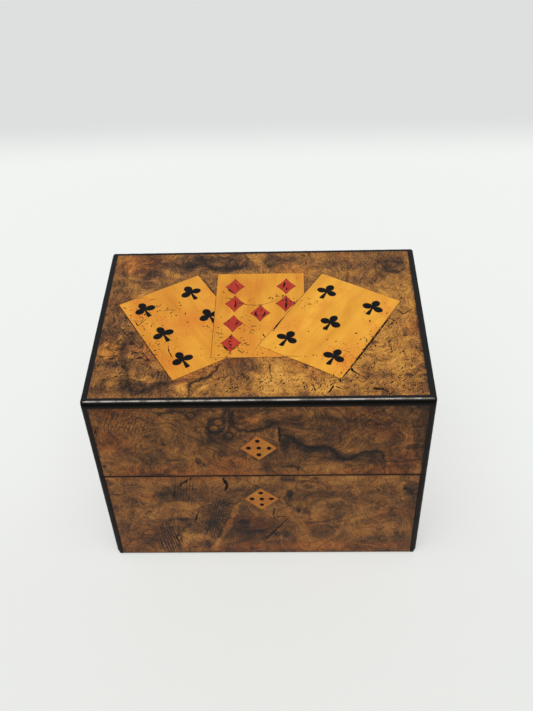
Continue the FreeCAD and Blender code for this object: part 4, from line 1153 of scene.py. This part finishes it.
LID_DASHES = [
    ((-62, 126), (22, 9), 26, 400, 60, (0.5, 1.3), (0.35, 0.6)),
    ((-84, 150), (14, 7), 22, 430, 65, (0.8, 2.2), (0.35, 0.6)),
    ((18, 121), (6, 2), 8, 460, 20, (0.5, 1.2), (0.25, 0.5)),
    ((70, 136), (22, 12), 16, 480, 40, (0.5, 1.6), (0.35, 0.6)),
]
DRAWER_LINES = [
    (1.0, 31, 0.3, (-51.6, 94), (-52.3, 90.5), (-57.1, 86.2), (-58.2, 82.4)),
    (0.8, 32, 0.2, (-62.7, 81.1), (-61.8, 77.9), (-63.6, 74.1), (-62.0, 70.1)),
    (0.8, 39, 0.6, (-49.6, 94.2), (-50.2, 90)),
    (1.6, 33, 0.3, (-27.4, 93.9), (-25.3, 87.7), (-24.6, 84.5), (-26.3, 78.2)),
    (0.9, 34, 0.2, (-46.4, 55.4), (-48.9, 50), (-49.5, 45.2), (-51.4, 41.7), (-48.7, 37.5)),
    (0.9, 35, 0.12, (18.6, 46.9), (10, 33.4), (2.3, 21.2), (-0.6, 16.5)),
    (0.6, 36, 0.12, (6.1, 47.6), (12, 47.4), (18.4, 47.1)),
    (0.5, 37, 0.12, (8.4, 57.2), (7.4, 52.4), (6.5, 48.2)),
    (0.5, 38, 0.15, (-14.2, 68.2), (-17.5, 65.4), (-21, 62)),
    (0.6, 40, 0.1, (-64.4, 26.5), (-65.9, 21.3), (-64.9, 16.5)),
    (0.8, 41, 0.1, (-110.3, 52), (-108.4, 51.4)),
]
DRAWER_DASHES = [
    ((-58, 40), (8, 10), 14, 500, 85, (1.2, 3.5), (0.35, 0.6)),
    ((-84, 66), (12, 12), 18, 520, 70, (0.5, 1.6), (0.35, 0.6)),
    ((70, 60), (24, 20), 26, 550, 30, (0.5, 1.8), (0.35, 0.6)),
    ((104, 80), (4, 8), 7, 580, 60, (0.8, 2.2), (0.3, 0.7)),
]


def make_top():
    """The lid's top: burr field and three cards inlaid as a fan."""
    rng = np.random.default_rng(5)
    shapes = []
    for card, pips, places in (("right", "clubs_right", FIVE), ("middle", "diamonds", NINE),
                               ("left", "clubs_left", SIX)):
        outlines = [diamond() if pips == "diamonds" else club(rng) for _ in places]
        shapes += [(pip, pips) for pip in laid_pips(card, places, outlines)]
        shapes.append((card_box(card), f"card_{card}"))
    low, high = extent("lid_top_veneer")
    shapes.append((rectangle(low[0], high[0], low[1], high[1]), "top_veneer"))
    pieces = {
        "clubs_right": ("club_pips_right", EBONY, plain_figure(60, 59)),
        "card_right": ("card_inlay_right", BOXWOOD, card_figure(
            "right", 61, 0.3, 0.0,
            [((60, -38), 16, 0.7), ((86, 20), 9, 0.4), ((22, -2), 9, 0.5), ((62, -60), 9, 0.6)],
            [((33, 18), 7), ((54, -36), 9), ((66, -44), 7), ((88, 4), 4)])),
        "diamonds": ("diamond_pips", RED, plain_figure(62)),
        "card_middle": ("card_inlay_middle", BOXWOOD, card_figure(
            "middle", 63, -0.1, 0.12,
            [((8, -32), 10, 0.6), ((-30, -4), 5, 0.4)], [((-16, -31), 7), ((-27, -12), 4)])),
        "clubs_left": ("club_pips_left", EBONY, plain_figure(64, 120)),
        "card_left": ("card_inlay_left", BOXWOOD, card_figure(
            "left", 65, -0.1, 0.22,
            [((-48, 0), 11, 0.7), ((-84, 10), 8, 0.5), ((-58, -42), 7, 0.5)],
            [((-84, 3), 5), ((-66, -22), 4)])),
        "top_veneer": ("lid_top_veneer", BURR_TOP, burr(11, TOP_MARKS, 0.02, 130)),
    }
    cracks = [*diamond_cracks(),
              *(crack(path, width, 740 + number, 0.12) for number, (path, width) in enumerate(CARD_CRACKS)),
              *cracked(TOP_LINES),
              *(crack(path, SHORT_WIDTH, 770 + number, 0.2) for number, path in enumerate(SHORT_LINES)),
              *dashed(TOP_DASHES)]
    marquetry("top", shapes, pieces, cracks, 0.75)


DICE_SHIFT = -0.9         # the dice were laid a little left of the middle
DIE_HALF = 9.0 * math.sqrt(2)
PIP_SPACING = 6.9


def make_front(part, centre_z, marks, seed, cracks):
    """A front veneer with an inlaid die face standing on its point."""
    low, high = extent(f"{part}_front_veneer")
    centre = (DICE_SHIFT, centre_z)
    square = np.array([(DIE_HALF, 0), (-0.6, DIE_HALF), (-DIE_HALF, 0), (0, -DIE_HALF)]) + centre
    rng = np.random.default_rng(seed)
    shapes = []
    for step in [(0, 0), (1, 0), (-1, 0), (-0.08, 1), (0, -1)]:
        middle = rng.normal(0, 0.12, 2) + centre + PIP_SPACING * np.array(step)
        shapes.append((ellipse(middle, rng.uniform(1.45, 1.7, 2), 0, 20), f"{part}_pips"))
    shapes += [(square, f"{part}_die"), (rectangle(low[0], high[0], low[2], high[2]), f"{part}_front")]
    pieces = {
        f"{part}_pips": (f"{part}_dice_pips", EBONY, plain_figure(seed + 1)),
        f"{part}_die": (f"{part}_dice_inlay", DIE_WOOD, plain_figure(seed + 2, 45)),
        f"{part}_front": (f"{part}_front_veneer", BURR_FRONT, burr(seed, marks, -0.05, 110)),
    }
    marquetry("front", shapes, pieces, cracks, 0.75)


def make_plain_face(node, face, seed):
    """A side or back veneer."""
    low, high = extent(node)
    across = 0 if face == "back" else 1
    flip = -1 if face in ("back", "left") else 1
    u0, u1 = sorted((flip * low[across], flip * high[across]))
    rng = np.random.default_rng(seed)
    middle, size = np.array([u0 + u1, low[2] + high[2]]) / 2, np.array([u1 - u0, high[2] - low[2]])
    spots = [tuple(middle + rng.uniform(-0.4, 0.4, 2) * size) for _ in range(8)]
    bend = ((spots[5][0] + spots[6][0]) / 2 + 6, spots[5][1] + 4)
    marks = [("eye", spots[0], 3.2, 0.9), ("eye", spots[1], 2.6, 0.9), ("patch", spots[2], (18, 7), 20, -0.4),
             ("patch", spots[3], (22, 9), -15, 0.3), ("warm", spots[4], (24, 10), 0, 0.6),
             ("line", [spots[5], bend, spots[6]], 1.3, 0.8)]
    cracks = dashes(spots[7], (24, 12), 22, seed + 40, 60, (0.6, 2.2), (0.35, 0.6))
    shapes = [(rectangle(u0, u1, low[2], high[2]), node)]
    marquetry(face, shapes, {node: (node, BURR_FRONT, burr(seed, marks, -0.05, 90))}, cracks, 1.0)


make_top()
make_front("lid", 124.65, LID_FRONT_MARKS, 23, cracked(LID_LINES) + dashed(LID_DASHES))
make_front("drawer", 68.55, DRAWER_MARKS, 37, cracked(DRAWER_LINES) + dashed(DRAWER_DASHES))
for number, (node, face) in enumerate([
        ("lid_back_veneer", "back"), ("lid_left_veneer", "left"), ("lid_right_veneer", "right"),
        ("base_back_veneer", "back"), ("base_left_veneer", "left"), ("base_right_veneer", "right")]):
    make_plain_face(node, face, 51 + 7 * number)


# ---------------------------------------------------------------- linings
def cloth_sheet(name, node, low, high, material, rests_on, up, round_over=0.5, sag=0.12, step=4.0):
    """A glued lining: a thin sheet with soft edges, a little uneven; up is +1 where its face looks up."""
    size = high - low
    line = []
    for k in (0, 1):
        inner = np.linspace(round_over, size[k] - round_over, max(3, int(size[k] / step)))
        line.append(np.array([0, 0.3 * round_over, *inner, size[k] - 0.3 * round_over, size[k]]))
    gu, gv = np.meshgrid(*line, indexing="ij")
    from_edge = np.minimum(np.minimum(gu, size[0] - gu), np.minimum(gv, size[1] - gv))
    fall = (1 - np.clip(from_edge / round_over, 0, 1)) ** 2 * min(size[2] * 0.6, round_over)
    uneven = sag * (0.5 + 0.5 * noise(gu + low[0], gv + low[1], 17, 90)) * np.clip(from_edge / 3, 0, 1)
    face = size[2] - fall - uneven
    z_face, z_back = (low[2] + face, low[2] + 0 * face) if up > 0 else (high[2] - face, high[2] + 0 * face)
    top, back = (np.stack([gu + low[0], gv + low[1], z], -1).reshape(-1, 3) for z in (z_face, z_back))
    count = gu.size
    index = np.arange(count).reshape(gu.shape)
    corners = (index[:-1, :-1], index[1:, :-1], index[1:, 1:], index[:-1, 1:])
    quads = [tuple(quad) for quad in np.stack(corners, -1).reshape(-1, 4).tolist()]
    edge = [int(k) for k in (*index[:, 0], *index[-1, 1:], *index[-2::-1, -1], *index[0, -2:0:-1])]
    walls = [(b, a, a + count, b + count) for a, b in zip(edge, edge[1:] + edge[:1])]
    faces = quads + [tuple(k + count for k in reversed(quad)) for quad in quads] + walls
    if up < 0:
        faces = [tuple(reversed(f)) for f in faces]
    piece = build_mesh(name, np.vstack([top, back]), faces, np.zeros(len(faces)), [material], node)
    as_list(rests_on)


def islands(node):
    """Boxes of the separate solids in a CAD node."""
    mesh = NODES[node].data
    parent = list(range(len(mesh.vertices)))

    def root(k):
        while parent[k] != k:
            parent[k] = parent[parent[k]]
            k = parent[k]
        return k

    keys = {}
    for vertex in mesh.vertices:
        key = tuple(round(c * 1e5) for c in vertex.co)
        parent[root(vertex.index)] = root(keys.setdefault(key, vertex.index))
    for line in mesh.edges:
        a, b = (root(k) for k in line.vertices)
        parent[a] = b
    groups = {}
    for vertex in mesh.vertices:
        groups.setdefault(root(vertex.index), []).append(tuple(vertex.co))
    return [(np.min(g, 0) / MM, np.max(g, 0) / MM) for g in groups.values()]


VELVET = make_cloth("blue_velvet", srgb(28, 44, 78), srgb(52, 78, 124), 0.7, srgb(120, 140, 190))
BAIZE = make_cloth("green_baize", srgb(28, 66, 38), srgb(52, 98, 58), 1.1, srgb(120, 160, 120))
for node, rests_on, up, material in [
        ("lid_lining", ["lid_top_board"], -1, VELVET), ("well_linings", ["shelf_board"], 1, VELVET),
        ("drawer_linings", ["drawer_bottom"], 1, VELVET), ("base_baize", ["base_bottom_board"], -1, BAIZE)]:
    for number, (low, high) in enumerate(islands(node)):
        cloth_sheet(f"{node}_{number}", node, low, high, material, rests_on, up)


# ---------------------------------------------------------------- black edging
CORNER_ROUND, TOP_ROUND, FRONT_ROUND, FOOT_ROUND = 2.0, 1.3, 2.6, 3.4


def past_arris(c, d):
    """Which points (c, d) lie past both flats of an arris, and the factor that takes them to its round."""
    past = (c > 0) & (d > 0)
    return past, np.where(past, np.maximum(c, d) / (np.hypot(c, d) + 1e-9), 1)


def eased(points):
    """Points of square strips moved on to the box's rounded arrises.

    With them go three fields: wear with a painted highlight along the arrises, painted shade under the front
    arris, and a painted sky reflection where the strip looks up.
    """
    x, y, z = points.T
    a, b = np.abs(x) - (HIGH[0] - CORNER_ROUND), np.abs(y) - (HIGH[1] - CORNER_ROUND)
    corner, k = past_arris(a, b)
    gx, gy = np.where(corner, a * k, a > b), np.where(corner, b * k, a <= b)
    length = np.hypot(gx, gy) + 1e-9
    gx, gy = gx / length, gy / length
    ax = np.where(corner, HIGH[0] - CORNER_ROUND + a * k, np.abs(x))
    ay = np.where(corner, HIGH[1] - CORNER_ROUND + b * k, np.abs(y))
    out = np.maximum(a, b) - CORNER_ROUND
    wear_and_highlight = np.where(corner, 0.35 * np.minimum(a, b) / CORNER_ROUND, 0)
    front = gy * (y < 0)
    radius = TOP_ROUND + (FRONT_ROUND - TOP_ROUND) * front
    c, d = out + radius, z - (HIGH[2] - radius)
    top, k = past_arris(c, d)
    inward = np.where(top, c * (k - 1), 0)
    ax, ay = ax + inward * gx, ay + inward * gy
    z = np.where(top, HIGH[2] - radius + d * k, z)
    slope = np.degrees(np.arctan2(np.clip(c, 0, None), np.clip(d, 1e-6, None)))
    # A painted highlight: a band on the upper part of each top arris, strongest at the front.
    line = smooth(2, 9, slope) * (1 - smooth(20, 33, slope)) * (d > 0)
    wear_and_highlight = np.maximum(wear_and_highlight, line * (0.3 + 0.7 * front))
    # Painted shade just under the front top arris.
    painted_arris_shade = smooth(32, 50, slope) * (1 - smooth(0, 2.4, -d)) * front
    # Painted sky reflection, strongest where the strip looks up.
    painted_sky_reflection = 1 - smooth(0, 25, slope)
    foot_low = extent("base_corner_edging")[0][2]
    c, d = ax - (HIGH[0] - FOOT_ROUND), foot_low + FOOT_ROUND - z
    foot, k = past_arris(c, d)
    ax = np.where(foot, HIGH[0] - FOOT_ROUND + c * k, ax)
    z = np.where(foot, foot_low + FOOT_ROUND - d * k, z)
    fields = {"wear_and_highlight": np.clip(wear_and_highlight, 0, 1), "painted_arris_shade": painted_arris_shade, "painted_sky_reflection": painted_sky_reflection}
    return np.stack([np.sign(x) * ax, np.sign(y) * ay, z], 1), fields


def gridded_box(low, high):
    """A box's surface as points and squares, finer across its thin sides than along it."""
    steps = []
    for size, start, end in zip(high - low, low, high):
        count = int(round(size / 0.45)) if size < 8 else int(round(size / 1.4))
        steps.append(np.linspace(start, end, count + 1))
    counts = [len(step) - 1 for step in steps]
    index, faces = {}, []
    for axis in range(3):
        p, q = (axis + 1) % 3, (axis + 2) % 3
        for end in (0, counts[axis]):
            for i in range(counts[p]):
                for j in range(counts[q]):
                    square = []
                    for di, dj in ((0, 0), (1, 0), (1, 1), (0, 1)):
                        cell = [0, 0, 0]
                        cell[axis], cell[p], cell[q] = end, i + di, j + dj
                        square.append(index.setdefault(tuple(cell), len(index)))
                    faces.append(tuple(square if end else reversed(square)))
    points = [[steps[k][cell[k]] for k in range(3)] for cell in index]
    return np.array(points), faces


def strip(name, node, low, high, material):
    """A strip of edging with rounded, slightly dented arrises."""
    flat, faces = gridded_box(low, high)
    shaped, fields = eased(flat)
    dent = 0.05 + 0.06 * noise(flat.sum(1), flat[:, 0] - flat[:, 2], 7, 71)
    chips = noise(flat[:, 0] + flat[:, 2], flat[:, 1] - flat[:, 2], 4, 72)
    dent += 0.22 * fields["wear_and_highlight"] * smooth(0.35, 0.8, chips)
    inward = (low + high) / 2 - shaped
    inward[:, int(np.argmax(high - low))] = 0
    inward /= np.linalg.norm(inward, axis=1)[:, None] + 1e-9
    shaped += inward * dent[:, None]
    cut_to_bevel(shaped, low[2], high[2], HINGE_Y)
    shaped = np.clip(shaped, LOW, HIGH)
    piece = build_mesh(name, shaped, faces, np.zeros(len(faces)), [material], node, fields)
    normals = np.array([p.normal[:] for p in piece.data.polygons])
    for edge, pair in zip(piece.data.edges, edge_faces(faces, piece.data.edges)):
        if len(pair) == 2 and normals[pair[0]] @ normals[pair[1]] < 0.6:
            edge.use_edge_sharp = True


def edge_faces(faces, edges):
    """For each edge, the faces on its two sides."""
    sides = {}
    for number, face in enumerate(faces):
        for a, b in zip(face, face[1:] + face[:1]):
            sides.setdefault((min(a, b), max(a, b)), []).append(number)
    return [sides[tuple(sorted(edge.vertices))] for edge in edges]


EDGING = make_edging()
for node in [name for name, slot in SLOT_OF.items() if slot == "black_edging"]:
    for number, (low, high) in enumerate(islands(node)):
        strip(f"{node}_{number}", node, low, high, EDGING)

# ---------------------------------------------------------------- solid wood and metal
WOODS = {
    "carcass_wood": (srgb(92, 48, 26), srgb(150, 88, 50)),
    "rack_wood": (srgb(84, 40, 22), srgb(142, 78, 44)),
    "drawer_wood": (srgb(140, 88, 50), srgb(190, 136, 88)),
}
made_woods = {}
BRASS = {"hinge_brass": make_brass("hinge_brass", 0.26), "brass_screw": make_brass("brass_screw", 0.32)}
for node, shown in NODES.items():
    slot = SLOT_OF[node]
    if slot in WOODS:
        low, high = extent(node)
        axis = int(np.argmax(high - low))
        if (slot, axis) not in made_woods:
            made_woods[slot, axis] = make_wood(f"{slot}_{'xyz'[axis]}", *WOODS[slot], axis)
        material = made_woods[slot, axis]
    elif slot in BRASS:
        material = BRASS[slot]
    else:
        continue
    for place in shown.material_slots:
        place.material = material


# ---------------------------------------------------------------- camera, light and floor
CAMERA_PLACE = (25.4, -463.77, 583.52)
CAMERA_ANGLES = (2.708, 44.008, -2.570)   # yaw, pitch and roll in degrees
SENSOR_WIDTH, LENS = 36.0, 45.09


def make_camera():
    """Above and in front, looking down at the box."""
    yaw, pitch, roll = (math.radians(a) for a in CAMERA_ANGLES)
    turn = Matrix(((math.cos(yaw), math.sin(yaw), 0), (-math.sin(yaw), math.cos(yaw), 0), (0, 0, 1)))
    upright = Matrix(((1, 0, 0), (0, 0, -1), (0, 1, 0)))
    nod = Matrix(((1, 0, 0), (0, math.cos(pitch), -math.sin(pitch)), (0, math.sin(pitch), math.cos(pitch))))
    tilt = Matrix(((math.cos(roll), -math.sin(roll), 0), (math.sin(roll), math.cos(roll), 0), (0, 0, 1)))
    right, down, ahead = tilt @ nod @ upright @ turn
    data = bpy.data.cameras.new("camera")
    data.sensor_width, data.lens = SENSOR_WIDTH, LENS
    data.clip_start, data.clip_end = 0.01, 30
    camera = bpy.data.objects.new("camera", data)
    bpy.context.scene.collection.objects.link(camera)
    camera.matrix_world = Matrix((right, -down, -ahead)).transposed().to_4x4()
    camera.location = Vector(CAMERA_PLACE) * MM
    bpy.context.scene.camera = camera


SKY = srgb(230, 232, 233)
SURROUND = 0.48    # how strongly the sky lights the box
FLOOR_HALF = 8.0


def make_floor():
    """A wide floor of pale paper with painted light and shade: a brighter strip behind the box, painted shade
    making the backdrop beyond it greyer, and a glow for seen rays that partly fills the box's shadow.
    """
    mesh = bpy.data.meshes.new("floor")
    corners = rectangle(-FLOOR_HALF, FLOOR_HALF, -FLOOR_HALF, FLOOR_HALF)
    mesh.from_pydata([(x, y, 0) for x, y in corners.tolist()], [], [(0, 1, 2, 3)])
    s = Shader("pale_paper")
    back = s.node("SeparateXYZ", Vector=s.place).outputs[1]
    back = s.plus(back, s.times(s.noise(s.place, 2.0, 2, 0.5), 0.03))
    # Painted light falloff: the lit floor paler further back.
    near = s.mix(s.ramp(back, -0.30, 0.35), srgb(236, 237, 233), srgb(248, 249, 248))
    lit = s.node("BsdfPrincipled", Base_Color=near, Roughness=0.8, Specular_IOR_Level=0.1)
    # Seen colour, paler further back up to a bright strip behind the box: painted light.
    shown = s.mix(s.ramp(back, -0.34, 0.08), srgb(232, 234, 230), srgb(242, 244, 242))
    # Painted shade: greyer beyond the bright strip, as on a backdrop.
    shown = s.mix(s.ramp(back, 0.49, 0.6), shown, srgb(222, 224, 223))
    far = s.node("VectorMath", {"operation": "LENGTH"}, _0=s.place).outputs["Value"]
    shown = s.mix(s.ramp(far, 1.2, 3.0), shown, SKY)
    glow = s.node("Emission", Color=shown, Strength=1.0)
    # Near the box the glow's share partly fills the box's shadow, less in front than behind: painted light.
    close = s.ramp(back, -0.12, 0.03, 0.3, 0.68)
    share = s.times(s.seen(), s.ramp(far, 0.2, 0.6, close, 1.0))
    blend = s.node("MixShader", _0=share, _1=lit.outputs[0], _2=glow.outputs[0])
    s.tree.links.new(blend.outputs[0], s.output.inputs[0])
    mesh.materials.append(s.material)
    floor = bpy.data.objects.new("floor", mesh)
    bpy.context.scene.collection.objects.link(floor)


def lamp(name, place, target, size, power):
    """A rectangular soft light that looks at its target; size is its width and depth."""
    data = bpy.data.lights.new(name, "AREA")
    data.shape, data.energy = "RECTANGLE", power
    data.size, data.size_y = size
    made = bpy.data.objects.new(name, data)
    bpy.context.scene.collection.objects.link(made)
    made.location = place
    made.rotation_mode = "QUATERNION"
    made.rotation_quaternion = (Vector(target) - Vector(place)).to_track_quat("-Z", "Y")


def make_light():
    """One wide soft light overhead and an even surround."""
    world = bpy.data.worlds.new("surround")
    world.use_nodes = True
    surround = Nodes(world.node_tree)
    level = surround.node("MapRange", _0=surround.seen(), _3=SURROUND, _4=1.0)
    sky = world.node_tree.nodes["Background"]
    sky.inputs[0].default_value = (*SKY, 1)
    world.node_tree.links.new(level.outputs[0], sky.inputs[1])
    bpy.context.scene.world = world
    lamp("overhead", (-0.1, -0.85, 2.6), (0, 0.1, 0.1), (2.6, 2.2), 56)


make_camera()
make_floor()
make_light()
bpy.context.scene.view_settings.view_transform = "Standard"
